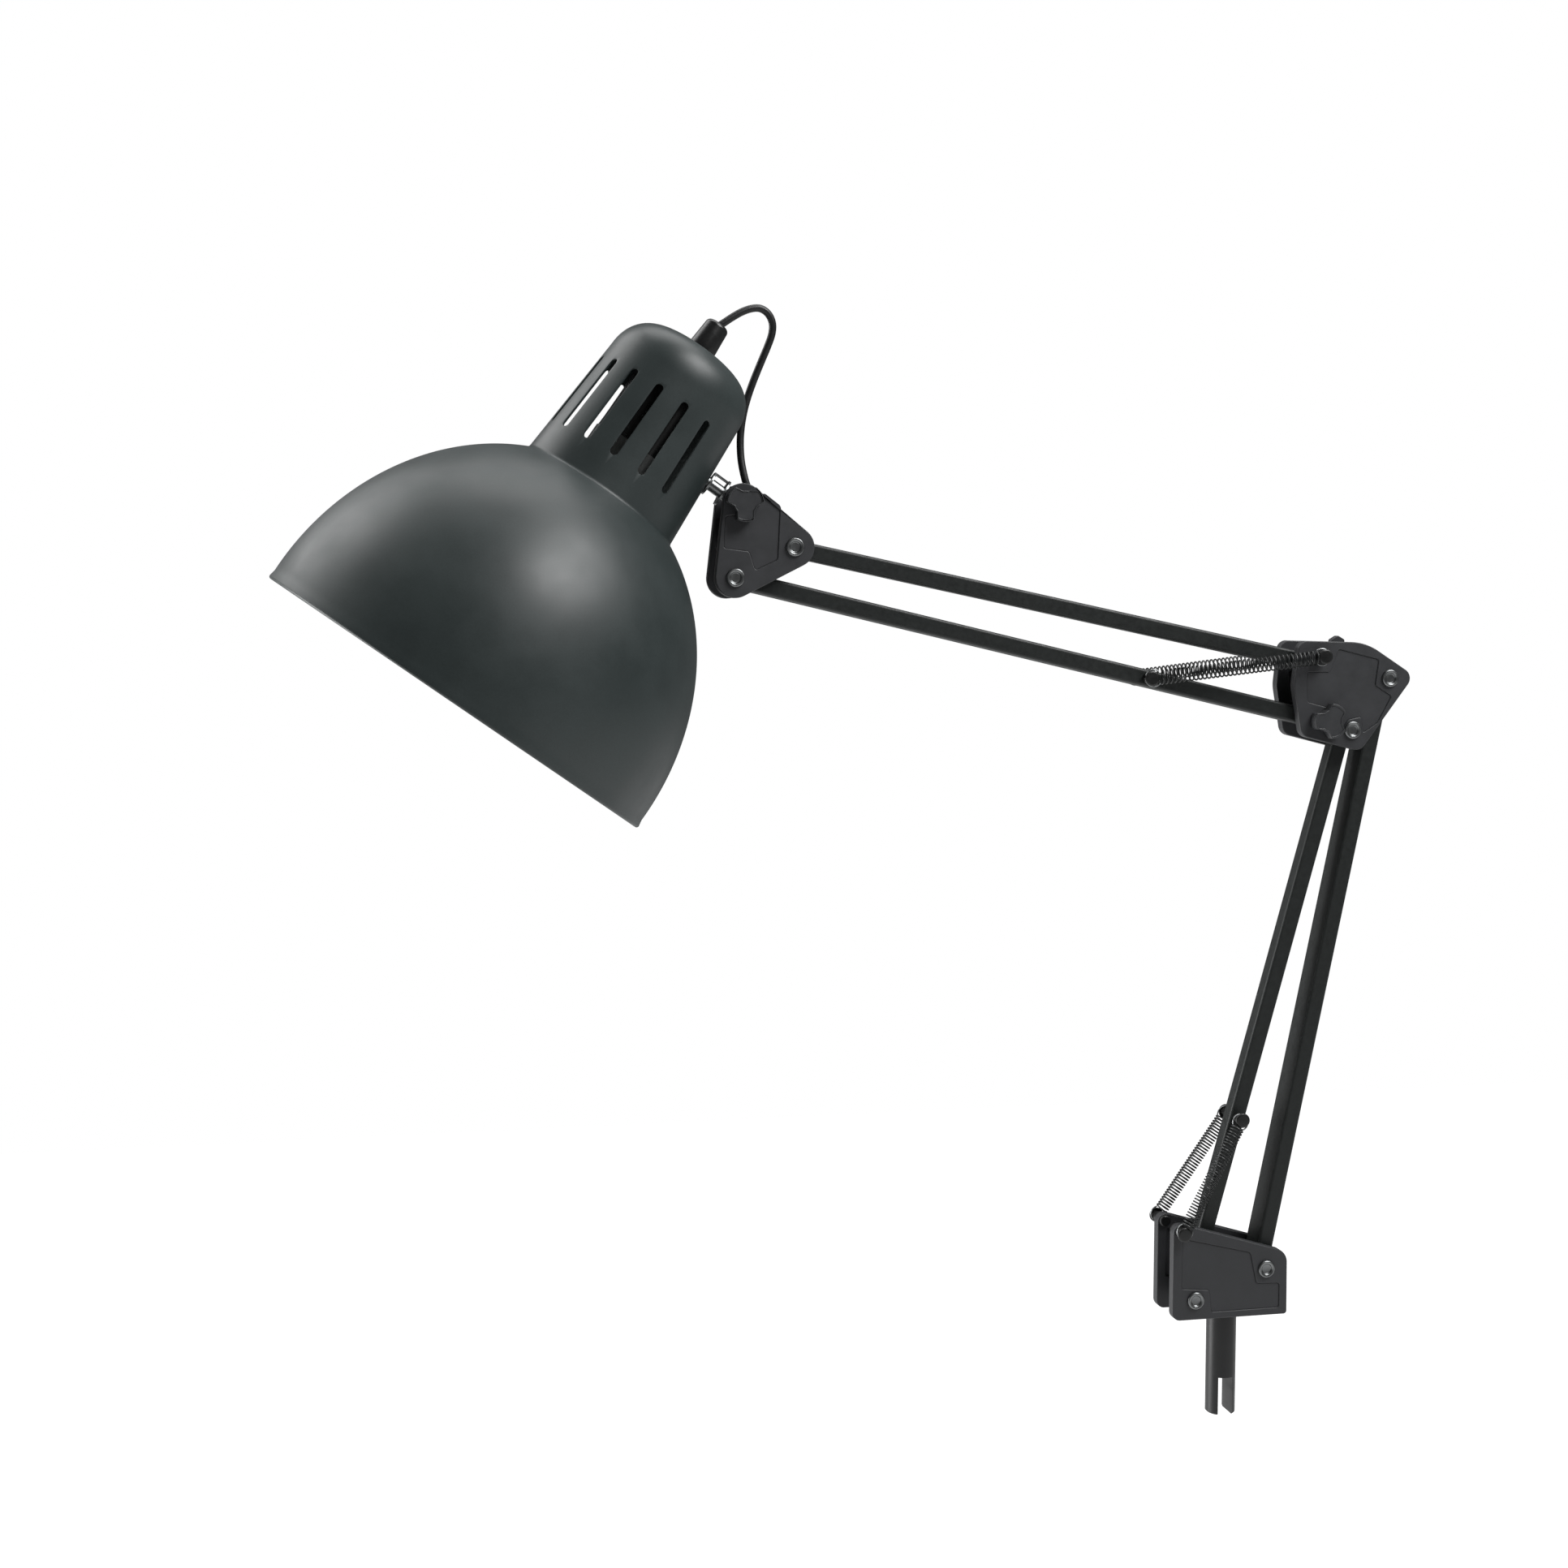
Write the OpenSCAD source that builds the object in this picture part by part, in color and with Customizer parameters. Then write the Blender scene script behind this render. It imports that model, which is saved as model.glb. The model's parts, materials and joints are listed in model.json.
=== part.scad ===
// Architect desk lamp: a spring-balanced arm of four tubes, three plate brackets and a swivelling shade.
// Millimetres. +Z up, the arm folds in the XZ plane, the shade is towards -X.
// The origin is on the axis of the stem, where the stem leaves the base bracket.

/* [Shade] */
// Diameter of the shade just above its rim
shade_d = 171; // [150:1:200]
// Height of the bell from its widest ring to where the ellipse would close
bell_h = 100; // [90:1:125]
// Height of that widest ring above the rim
rim_drop = 6; // [3:0.5:10]
// Sheet thickness of the shade
shade_wall = 0.8; // [0.6:0.1:1.5]
// Radius of the neck where it meets the bell
neck_r = 33.5; // [30:0.1:37]
// Radius of the neck at the cap
neck_top_r = 30; // [28:0.1:33]
// Length of the neck from the bell to the start of the domed cap
neck_len = 52.5; // [46:0.5:62]
// Height of the domed cap
cap_h = 17.6; // [14:0.2:22]
// Length of a vent slot
slot_len = 33; // [24:0.5:40]
// Width of a vent slot
slot_w = 3.4; // [2.5:0.1:5]
// Angle of the shade's axis above the horizontal
shade_angle = 55; // [30:1:80]

/* [Arms] */
// Distance between the pivots of the lower front tube
lower_span = 250; // [200:1:300]
// Angle of the lower front tube above the horizontal
lower_angle = 74.6; // [70:0.1:80]
// Distance between the pivots of the upper bottom tube
upper_span = 259; // [210:1:310]
// Angle by which the upper bottom tube rises towards the shade
upper_rise = 13.1; // [5:0.1:20]
// Height of a tube's face
tube_h = 7; // [6.5:0.1:8]
// Depth of the two narrow tubes
narrow_depth = 7.5; // [6.5:0.1:8]
// Depth of the two wide tubes
wide_depth = 12.8; // [12:0.1:14]
// Wall of a tube
tube_wall = 1; // [0.8:0.1:1.2]
// Outer corner radius of a tube
tube_corner = 1.2; // [1.1:0.1:1.6]
// How far a tube runs past its pivot
tube_end = 3.8; // [3:0.1:4]

/* [Brackets] */
// Thickness of a bracket plate
plate_t = 4.4; // [3.5:0.1:5]
// Depth of the sunk panel on the outside of a plate
panel_sink = 0.4; // [0.2:0.1:0.8]
// Gap left each side of a wide tube between the plates
side_gap = 0.4; // [0.3:0.05:0.6]
// Radius of a rivet's shank
rivet_r = 1.6; // [1.4:0.1:1.8]
// Radius of a rivet's head
rivet_head_r = 3.75; // [3.2:0.05:4]
// Radius of the two clamping bolts
bolt_r = 2.5; // [2:0.1:2.6]
// Radius of a knob over its lobes
knob_r = 7.4; // [7:0.1:8]
// Thickness of a knob
knob_t = 4.8; // [4:0.1:7]

/* [Stem] */
// Diameter of the stem
stem_d = 12.7; // [12:0.1:13.2]
// Length of the stem below the bracket
stem_len = 44.6; // [38:0.1:60]
// Depth of the slot across the stem's lower end
stem_slot_depth = 16.5; // [10:0.5:25]
// Width of that slot
stem_slot_w = 6.4; // [4:0.1:7.5]

/* [Springs] */
// Outer diameter of a lower spring
lower_coil_d = 5.9; // [5:0.1:6.2]
// Outer diameter of an upper spring
upper_coil_d = 6.4; // [5:0.1:6.8]
// Diameter of the spring wire
wire_d = 0.7; // [0.4:0.05:0.8]
// Turns of a lower spring
lower_turns = 37; // [30:1:42]
// Turns of an upper spring
upper_turns = 37; // [30:1:42]

/* [Cord] */
// Diameter of the cord
cord_d = 3; // [2.6:0.1:3.4]

/* [Hidden] */

// Clearances: press is a fixed pin in its hole, run is a pin that turns in its hole.
press = 0.02;
run = 0.06;
// Free play between a washer and the face beside it.
play = 0.1;
// Extra length that carries a cut clear of a surface.
over = 1;
fine = 48;

gap = wide_depth + 2 * side_gap;
inner = gap / 2;
outer = inner + plate_t;

// ---- Points in the arm's plane, as [x, z] ----

function polar(r, a) = [r * cos(a), r * sin(a)];

// Base bracket.
lower_front_pivot = [-16.5, 8.4];
lower_rear_pivot = [15.2, 20.2];
base_post = [-23.8, 38.4];

// Elbow bracket, measured from the top pivot of the lower front tube.
elbow = lower_front_pivot + polar(lower_span, lower_angle);
elbow_rear = elbow + [16.6, 21.7];
knob_pivot = elbow + [-11.8, 4];
elbow_post = elbow + [-15.1, 30.9];

// Head bracket, measured from the head end of the upper bottom tube.
head_front = knob_pivot + polar(upper_span, 180 - upper_rise);
head_rear = head_front + [24, 12.2];
tilt_pivot = head_front + [3.3, 29.1];
plate_corner_r = 8;

// Where the springs hook onto the two pins in the tubes.
lower_pin_at = 78.6;
lower_pin = lower_front_pivot + polar(lower_pin_at, lower_angle);
upper_pin_at = 80;
upper_pin = knob_pivot + polar(upper_pin_at, 180 - upper_rise);

// Spring posts and pins.
post_r = 2.3;
post_head_r = 3.1;
post_head_t = 1.1;
post_reach = 5.6;
boss_r = 2.4;
boss_reach = 1.6;
pin_reach = 6;

// The block that holds the stem, the stem's spigot inside it and the pin across both.
socket_half = 9;
socket_h = 13.4;
spigot_r = 5;
socket_pin_r = 1.5;
socket_pin_at = [0, 7];
socket_pin_bite = 2.2;

// The swivel's rod and the eye at its end.
rod_r = 2.5;
tongue_r = 5.5;
tongue_t = 6;

// The linkage is opened at two pivots, and these are the free play that opens them.
elbow_open_along = 2.1;
elbow_open_across = 0.95;
head_open = 0.95;

// Shade: heights above the rim.
bell_a = shade_d / 2;
neck_h0 = rim_drop + bell_h * sqrt(1 - pow(neck_r / bell_a, 2));
cap_h0 = neck_h0 + neck_len;
cap_top = cap_h0 + cap_h;
slot_h = neck_h0 + 29;

// The swivel rod lies square to the neck: its height above the rim, and how far out its bolt is.
swivel_h = neck_h0 + 30;
swivel_u = neck_r + 13.5;
slot_count = 16;
slot_half_span = 6;

// Lampholder: heights above the rim and radii.
holder_h0 = neck_h0 + 4;
holder_ring_h0 = neck_h0 + 14;
cover_h0 = neck_h0 + 23;
cover_r = 16.4;
cover_wall = 1.4;
holder_r = 15.4;
socket_r = 13.3;
socket_len = 30;
shell_t = 0.5;
nipple_r = 4.4;
nipple_bore = 2.6;
grip_r = 5.7;
grip_top_r = 4.9;
grip_h = 13.2;
// How deep the cord goes into the grip, and the room round it there.
cord_in = 3.2;
cord_room = 0.9;

// ---- Placing helpers ----

// A flat shape drawn in the arm's plane, given a thickness from y0 to y1.
module across(y0, y1) {
    translate([0, y1, 0])
        rotate([90, 0, 0])
            linear_extrude(y1 - y0)
                children();
}

// A round bar across the arm's plane, at p, from y0 to y1.
module cross_rod(p, r, y0, y1) {
    translate([p[0], y1, p[1]])
        rotate([90, 0, 0])
            cylinder(h = y1 - y0, r = r, $fn = fine);
}

// The same shape on the front and, mirrored, on the back.
module both_sides() {
    children();
    mirror([0, 1, 0]) children();
}

// Children drawn along +X from the origin are carried to run from p towards q.
module along(p, q) {
    a = atan2(q[1] - p[1], q[0] - p[0]);
    translate([p[0], 0, p[1]])
        rotate([0, -a, 0])
            children();
}

// The shade's own frame: its axis is +Z, its rim is at z = 0, and +X points at the arm.
module in_shade() {
    swivel = tilt_pivot;
    rotate_about(swivel, 90 - shade_angle)
        translate([swivel[0] - swivel_u, 0, swivel[1] - swivel_h])
            children();
}

// Turns children in the arm's plane about p, so that +Z leans towards +X by a.
module rotate_about(p, a) {
    translate([p[0], 0, p[1]])
        rotate([0, a, 0])
            translate([-p[0], 0, -p[1]])
                children();
}

// ---- Plates ----

// The outline round a list of circles [x, z, r], taken anticlockwise.
function tangent_angle(a, b) =
    let (d = [b[0] - a[0], b[1] - a[1]])
    atan2(d[1], d[0]) - acos((a[2] - b[2]) / norm(d));
function outline_points(c) = [
    for (i = [0 : len(c) - 1])
        let (a = c[i], b = c[(i + 1) % len(c)], t = tangent_angle(a, b))
        each [[a[0], a[1]] + polar(a[2], t), [b[0], b[1]] + polar(b[2], t)]
];
module round_outline(c) {
    polygon(outline_points(c));
    for (k = c)
        translate([k[0], k[1]])
            circle(r = k[2], $fn = 96);
}

function shifted(c, p) = [for (k = c) [k[0] + p[0], k[1] + p[1], k[2]]];
function moved(points, p) = [for (k = points) k + p];

base_outline = [
    [-23.2, 3.6, 3.6], [23.6, 1.4, 1.4], [18.6, 22.4, 6.2], [-23.1, 37.6, 3.7]
];
base_panel = [
    [-22.8, 13.6], [-10.2, 12.4], [-9.3, 2.9], [21.3, 3], [21.4, 13.6], [10.9, 14], [8, 27.6], [-22.6, 35.2]
];

elbow_outline = shifted([
    [2, -3.7, 4.7], [21.6, 21.6, 4.3], [-1.8, 12.6, 24.4], [-21, 33.6, 3.9], [-11.2, 19, 15.2], [-19, 1.4, 4.5]
], elbow);
elbow_panel = moved([
    [-5.6, -1.6], [-5.6, 8], [-20.6, 12], [-20.8, 24.4], [-10.4, 24.4], [-6.8, 34],
    [11.5, 29.6], [10, 18.8], [17.6, 14.2], [11.4, 3], [5, -1.2], [4, 5.6], [-2, 4.4]
], elbow);

head_outline = [
    for (p = [head_front, head_rear, tilt_pivot])
        [p[0], p[1], plate_corner_r]
];
head_panel = moved([
    [-4.6, 11.6], [5.6, 10.4], [8, 3], [17, 7.2], [18, 28], [11.4, 33], [4, 25], [-4, 24]
], head_front);

// The front plate of a pair, with holes [point, radius] and blind holes [point, radius, depth].
module plate(outline, panel, holes, blind = []) {
    difference() {
        across(-outer, -inner)
            round_outline(outline);
        across(-outer - over, -outer + panel_sink)
            polygon(panel);
        for (h = holes)
            cross_rod(h[0], h[1], -outer - over, -inner + over);
        for (h = blind)
            cross_rod(h[0], h[1], -inner - h[2], -inner + over);
    }
}

base_holes = [
    [lower_front_pivot, rivet_r + press], [lower_rear_pivot, rivet_r + press],
    [base_post, post_r + press]
];
base_blind = [[socket_pin_at, socket_pin_r + press, socket_pin_bite + play]];
elbow_holes = [
    [elbow, rivet_r + press], [elbow_rear, rivet_r + press],
    [knob_pivot, bolt_r + press], [elbow_post, post_r + press]
];
head_holes = [
    [head_front, rivet_r + press], [head_rear, rivet_r + press], [tilt_pivot, bolt_r + press]
];

module base_front_plate() {
    color("#3b3c3f") plate(base_outline, base_panel, base_holes, base_blind);
}
module base_rear_plate() {
    color("#3b3c3f") mirror([0, 1, 0]) plate(base_outline, base_panel, base_holes, base_blind);
}
module elbow_front_plate() {
    color("#3b3c3f") plate(elbow_outline, elbow_panel, elbow_holes);
}
// The rear elbow plate carries a small pointed lug that shows above its top edge.
module elbow_rear_plate() {
    lug = elbow + [3.4, 36];
    lug_r = 3.6;
    lug_t = 2.8;
    color("#3b3c3f") {
        mirror([0, 1, 0]) plate(elbow_outline, elbow_panel, elbow_holes);
        across(outer - panel_sink, outer + lug_t)
            translate(lug)
                rotate(30)
                    circle(r = lug_r, $fn = 6);
    }
}
module head_front_plate() {
    color("#3b3c3f") plate(head_outline, head_panel, head_holes);
}
module head_rear_plate() {
    color("#3b3c3f") mirror([0, 1, 0]) plate(head_outline, head_panel, head_holes);
}

// ---- Rivets, washers, bolts and posts ----

// A tubular rivet through both plates, with a rolled head that is dished in the middle.
module rivet(p) {
    head_t = 1.2;
    dish_r = 2.3;
    dish_depth = 0.8;
    color("silver") difference() {
        union() {
            cross_rod(p, rivet_r, -outer - head_t / 2, outer + head_t / 2);
            both_sides() rivet_head(p, head_t);
        }
        both_sides()
            cross_rod(p, dish_r, -outer - head_t - over, -outer - head_t + dish_depth);
    }
}
module rivet_head(p, t) {
    edge = 0.4;
    translate([p[0], -outer, p[1]])
        rotate([90, 0, 0])
            rotate_extrude($fn = fine)
                polygon([[0, 0], [rivet_head_r, 0], [rivet_head_r, t - edge], [rivet_head_r - edge, t], [0, t]]);
}
module base_front_rivet() rivet(lower_front_pivot);
module base_rear_rivet() rivet(lower_rear_pivot);
module elbow_front_rivet() rivet(elbow);
module elbow_rear_rivet() rivet(elbow_rear);
module head_front_rivet() rivet(head_front);
module head_rear_rivet() rivet(head_rear);

// A washer each side of a narrow piece of half depth d, filling the gap to the plates.
module side_washers(p, d, hole_r, washer_r) {
    color("dimgray") both_sides() difference() {
        cross_rod(p, washer_r, -inner, -d - play);
        cross_rod(p, hole_r + press, -inner - over, -d + over);
    }
}
washer_r = 4;
module base_washers() side_washers(lower_front_pivot, narrow_depth / 2, rivet_r, washer_r);
module elbow_washers() side_washers(elbow, narrow_depth / 2, rivet_r, washer_r);
module head_washers() {
    side_washers(head_rear, narrow_depth / 2, rivet_r, washer_r);
    side_washers(tilt_pivot, tongue_t / 2, bolt_r, washer_r + 0.4);
}

// A grooved post pressed into each plate: the spring hooks behind its head.
module plate_posts(p) {
    groove = 1.4;
    groove_r = post_r - 0.3;
    color("#1b1b1c") both_sides() {
        cross_rod(p, post_head_r, -outer - post_reach, -outer - post_reach + post_head_t);
        cross_rod(p, groove_r, -outer - post_reach + post_head_t, -outer - post_reach + post_head_t + groove);
        cross_rod(p, post_r, -outer - post_reach + post_head_t + groove, -inner);
        cross_rod(p, boss_r, -inner, -inner + boss_reach);
    }
}
module base_spring_posts() plate_posts(base_post);
module elbow_spring_posts() plate_posts(elbow_post);

// A pin right through a tube of half depth d, with a grooved head each side.
module tube_pin(p, d) {
    groove = 1.4;
    groove_r = post_r - 0.3;
    tip = d + pin_reach;
    color("#1b1b1c") {
        cross_rod(p, post_r, -tip + post_head_t + groove, tip - post_head_t - groove);
        both_sides() {
            cross_rod(p, post_head_r, -tip, -tip + post_head_t);
            cross_rod(p, groove_r, -tip + post_head_t, -tip + post_head_t + groove);
        }
    }
}
module lower_spring_pin() tube_pin(lower_pin, narrow_depth / 2);
module upper_spring_pin() tube_pin(upper_pin, wide_depth / 2);

// A hexagon-headed bolt from the back, which the knob screws onto at the front.
bolt_tip = outer + 3;
module clamp_bolt(p) {
    head_af_r = 4.4;
    head_t = 3;
    color("silver") {
        cross_rod(p, bolt_r, -bolt_tip, outer);
        across(outer, outer + head_t)
            translate(p)
                circle(r = head_af_r, $fn = 6);
    }
}
module elbow_bolt() clamp_bolt(knob_pivot);
module head_bolt() clamp_bolt(tilt_pivot);

// The three-lobed clamping knob; first is the direction of its first lobe.
module knob(p, first) {
    stand_off = 0.35;
    core_r = 5.4;
    lobe_half = 26;
    face = -outer - stand_off;
    color("#3a3a3d") difference() {
        across(face - knob_t, face)
            translate(p) {
                circle(r = core_r, $fn = fine);
                for (k = [0 : 2])
                    rotate(first + 120 * k)
                        knob_lobe(lobe_half);
            }
        cross_rod(p, bolt_r + run, -bolt_tip - 0.3, face + over);
    }
}
// One lobe: a wedge of the outer circle.
module knob_lobe(half) {
    intersection() {
        circle(r = knob_r, $fn = 96);
        polygon(concat([[0, 0]], [for (s = [-1, 1]) polar(knob_r * 1.3, s * half)]));
    }
}
module elbow_knob() knob(knob_pivot, 60);
module head_knob() knob(tilt_pivot, 30);

// ---- Stem ----

// The stem turns in any clamp or socket. A wide slot splits its lower end.
module stem() {
    lead = 0.6;
    r = stem_d / 2;
    color("#2c2d2e") difference() {
        rotate_extrude($fn = fine)
            polygon([[0, -stem_len], [r - lead, -stem_len], [r, -stem_len + lead], [r, 0],
                [spigot_r, 0], [spigot_r, socket_h - over], [0, socket_h - over]]);
        translate([-stem_slot_w / 2, -stem_d, -stem_len - over])
            cube([stem_slot_w, 2 * stem_d, stem_slot_depth + over]);
        cross_rod(socket_pin_at, socket_pin_r + press, -stem_d, stem_d);
    }
}
// The block between the base plates that holds the stem.
module stem_socket() {
    color("#1f2021") difference() {
        translate([-socket_half, -inner, 0])
            cube([2 * socket_half, gap, socket_h]);
        translate([0, 0, -over])
            cylinder(h = socket_h + 2 * over, r = spigot_r + press, $fn = fine);
        cross_rod(socket_pin_at, socket_pin_r + press, -inner - over, inner + over);
    }
}
// The pin ends inside the plates, in blind holes.
module stem_cross_pin() {
    color("silver") cross_rod(socket_pin_at, socket_pin_r, -inner - socket_pin_bite, inner + socket_pin_bite);
}

// ---- Tubes ----

// A rounded rectangle, w by d, centred.
module round_rect(w, d, r) {
    square([w - 2 * r, d], center = true);
    square([w, d - 2 * r], center = true);
    for (sx = [-1, 1])
        for (sy = [-1, 1])
            translate([sx * (w / 2 - r), sy * (d / 2 - r)])
                circle(r = r, $fn = 32);
}
// A tube of depth d from a past pivot p to past pivot q.
module tube(p, q, d) {
    span = norm(q - p);
    color("#222625") along(p, q)
        translate([-tube_end, 0, 0])
            rotate([0, 90, 0])
                linear_extrude(span + 2 * tube_end)
                    difference() {
                        round_rect(tube_h, d, tube_corner);
                        round_rect(tube_h - 2 * tube_wall, d - 2 * tube_wall, tube_corner / 3);
                    }
}
module hole(p, r) cross_rod(p, r, -outer, outer);

module lower_front_tube() {
    difference() {
        tube(lower_front_pivot, elbow, narrow_depth);
        hole(lower_front_pivot, rivet_r + run);
        hole(elbow, rivet_r + run);
        hole(lower_pin, post_r + press);
    }
}
// Its top end is a fork: the cheeks straddle the upper top tube, and their holes are slots,
// which opens the lower linkage at that pivot.
module lower_rear_tube() {
    fork = tube_h / 2 + tube_end + 0.5;
    slot_r = rivet_r + elbow_open_across;
    slot_half = elbow_open_along - elbow_open_across;
    span = norm(elbow_rear - lower_rear_pivot);
    fork_half = wide_depth / 2 - tube_wall;
    difference() {
        tube(lower_rear_pivot, elbow_rear, wide_depth);
        hole(lower_rear_pivot, rivet_r + run);
        along(lower_rear_pivot, elbow_rear) {
            translate([span - fork, -fork_half, -tube_h])
                cube([2 * fork, 2 * fork_half, 2 * tube_h]);
            across(-outer, outer)
                translate([span, 0]) {
                    square([2 * slot_half, 2 * slot_r], center = true);
                    for (s = [-1, 1])
                        translate([s * slot_half, 0])
                            circle(r = slot_r, $fn = fine);
                }
        }
    }
}
// Its hole at the head is oversize, which opens the upper linkage there.
module upper_top_tube() {
    difference() {
        tube(elbow_rear, head_rear, narrow_depth);
        hole(elbow_rear, rivet_r + run);
        hole(head_rear, rivet_r + head_open);
    }
}
module upper_bottom_tube() {
    difference() {
        tube(knob_pivot, head_front, wide_depth);
        hole(knob_pivot, bolt_r + run);
        hole(head_front, rivet_r + run);
        hole(upper_pin, post_r + press);
    }
}

// ---- Head: cord clamp and swivel ----

clamp_at = head_front + [11.4, 7.8];
clamp_w = 8;
clamp_h = 7.2;
module head_cord_clamp() {
    color("#1b1b1c") across(-inner, inner)
        translate(clamp_at)
            round_outline([
                for (s = [[1, 0], [1, 1], [0, 1], [0, 0]])
                    [(s[0] - 0.5) * (clamp_w - 2) + 0, 1 + s[1] * (clamp_h - 2), 1]
            ]);
}

rod_in = shade_inner_r(swivel_h) - 6;
washer_t = 0.8;
neck_washer_r = 5;
plate_washer_r = 5.6;
// The neck is widest under the washer's lower edge, so the washer clears it there.
neck_washer_u = neck_at(swivel_h - neck_washer_r) + 0.2;
plate_washer_u = swivel_u - 8.4;

// The tongue between the head plates and the rod that the shade turns on, in one piece.
module swivel_tongue() {
    bore = bolt_r + run;
    color("silver") in_shade() difference() {
        union() {
            translate([swivel_u, tongue_t / 2, swivel_h])
                rotate([90, 0, 0])
                    cylinder(h = tongue_t, r = tongue_r, $fn = fine);
            translate([rod_in, 0, swivel_h])
                rotate([0, 90, 0])
                    cylinder(h = swivel_u - bolt_r - 1.5 - rod_in, r = rod_r, $fn = fine);
        }
        translate([swivel_u, tongue_t, swivel_h])
            rotate([90, 0, 0])
                cylinder(h = 2 * tongue_t, r = bore, $fn = fine);
    }
}
// A spring-steel clip: a washer at the neck and one at the bracket, joined by a thin strap.
module swivel_clip() {
    strap_w = 4;
    strap_t = 0.5;
    strap_z = 4.4;
    color("gainsboro") in_shade() translate([0, 0, swivel_h]) difference() {
        union() {
            clip_washer(neck_washer_u, neck_washer_r);
            clip_washer(plate_washer_u, plate_washer_r);
            translate([neck_washer_u, -strap_w / 2, strap_z])
                cube([plate_washer_u + washer_t - neck_washer_u, strap_w, strap_t]);
        }
        rotate([0, 90, 0])
            cylinder(h = 2 * swivel_u, r = rod_r + press, $fn = fine);
    }
}
module clip_washer(u, r) {
    translate([u, 0, 0])
        rotate([0, 90, 0])
            cylinder(h = washer_t, r = r, $fn = fine);
}
// The nut that holds the rod inside the neck.
module swivel_nut() {
    nut_t = 4;
    nut_r = 4.6;
    color("silver") in_shade() translate([rod_in + 0.6, 0, swivel_h]) rotate([0, 90, 0]) difference() {
        cylinder(h = nut_t, r = nut_r, $fn = 6);
        translate([0, 0, -over])
            cylinder(h = nut_t + 2 * over, r = rod_r + press, $fn = fine);
    }
}

// ---- Shade ----

// Outer radius of the neck at height h.
function neck_at(h) = neck_r + (neck_top_r - neck_r) * (h - neck_h0) / neck_len;
function shade_inner_r(h) = neck_at(h) - shade_wall;
// The bell's outline, an ellipse from the rim up to the neck, drawn w inside the outer face.
bell_steps = 26;
function bell_profile(w) =
    let (a0 = -asin(rim_drop / bell_h), a1 = acos((neck_r - w) / (bell_a - w)))
    [for (i = [0 : bell_steps])
        let (t = a0 + (a1 - a0) * i / bell_steps)
        [(bell_a - w) * cos(t), rim_drop + (bell_h - w) * sin(t)]];
// The cap's outline: a round shoulder that runs into a shallow dome.
cap_steps = 12;
cap_power = 0.5;
function cap_profile(w) =
    [for (i = [0 : cap_steps])
        let (t = 90 * i / cap_steps)
        [(neck_top_r - w) * pow(cos(t), cap_power), cap_h0 + (cap_h - w) * sin(t)]];
function shade_profile(w) = concat(bell_profile(w), cap_profile(w));
function reversed(v) = [for (i = [len(v) - 1 : -1 : 0]) v[i]];

rim_roll_r = 1.1;
module shade_shell() {
    color("#3e4646") in_shade() difference() {
        union() {
            rotate_extrude($fn = 96)
                polygon(concat(shade_profile(0), reversed(shade_profile(shade_wall))));
            rotate_extrude($fn = 96)
                translate([bell_profile(0)[0][0] - rim_roll_r / 2, 0])
                    circle(r = rim_roll_r, $fn = 16);
        }
        translate([0, 0, cap_h0])
            cylinder(h = cap_h + over, r = nipple_r + press, $fn = fine);
        translate([0, 0, swivel_h])
            rotate([0, 90, 0])
                cylinder(h = swivel_u, r = rod_r + run, $fn = fine);
        for (k = [-slot_half_span : slot_half_span - 1])
            rotate(180 + (k + 0.5) * 360 / slot_count)
                vent_slot();
    }
}
// A cutter for one slot, pointing out along +X.
module vent_slot() {
    half = (slot_len - slot_w) / 2;
    translate([neck_top_r / 2, 0, slot_h])
        rotate([0, 90, 0])
            linear_extrude(neck_r) {
                square([2 * half, slot_w], center = true);
                for (s = [-1, 1])
                    translate([s * half, 0])
                        circle(r = slot_w / 2, $fn = 32);
            }
}

// ---- Lampholder ----

// A ring about the shade's axis from h0 to h1, between two radii.
module ring(h0, h1, r0, r1) {
    translate([0, 0, h0])
        difference() {
            cylinder(h = h1 - h0, r = r1, $fn = 64);
            translate([0, 0, -over])
                cylinder(h = h1 - h0 + 2 * over, r = r0, $fn = 64);
        }
}
cap_inside = cap_top - shade_wall;
nut_t = 3;
// The dome falls away from its middle, so the nut hangs this far below its peak.
nut_drop = 0.4;
cover_top = cap_inside - nut_t - 4;
module lampholder_nipple() {
    color("silver") in_shade() ring(cover_top - 6, cap_top + 4, nipple_bore, nipple_r);
}
module lampholder_nut() {
    color("silver") in_shade() translate([0, 0, cap_inside - nut_t - nut_drop]) difference() {
        cylinder(h = nut_t, r = 8, $fn = 6);
        translate([0, 0, -over])
            cylinder(h = nut_t + 2 * over, r = nipple_r + press, $fn = fine);
    }
}
// The black cover over the terminals, hung on the nipple.
module lampholder_cover() {
    color("#151515") in_shade() rotate_extrude($fn = 64)
        polygon([
            [nipple_r + press, cover_top], [cover_r - 3, cover_top], [cover_r, cover_top - 5],
            [cover_r, cover_h0], [cover_r - cover_wall, cover_h0],
            [cover_r - cover_wall, cover_top - 5.5], [cover_r - 4, cover_top - 2], [nipple_r + press, cover_top - 2]
        ]);
}
module lampholder_ring() {
    color("#8d9090") in_shade() ring(holder_ring_h0, cover_h0, holder_r + press, cover_r + 0.6);
}
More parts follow.
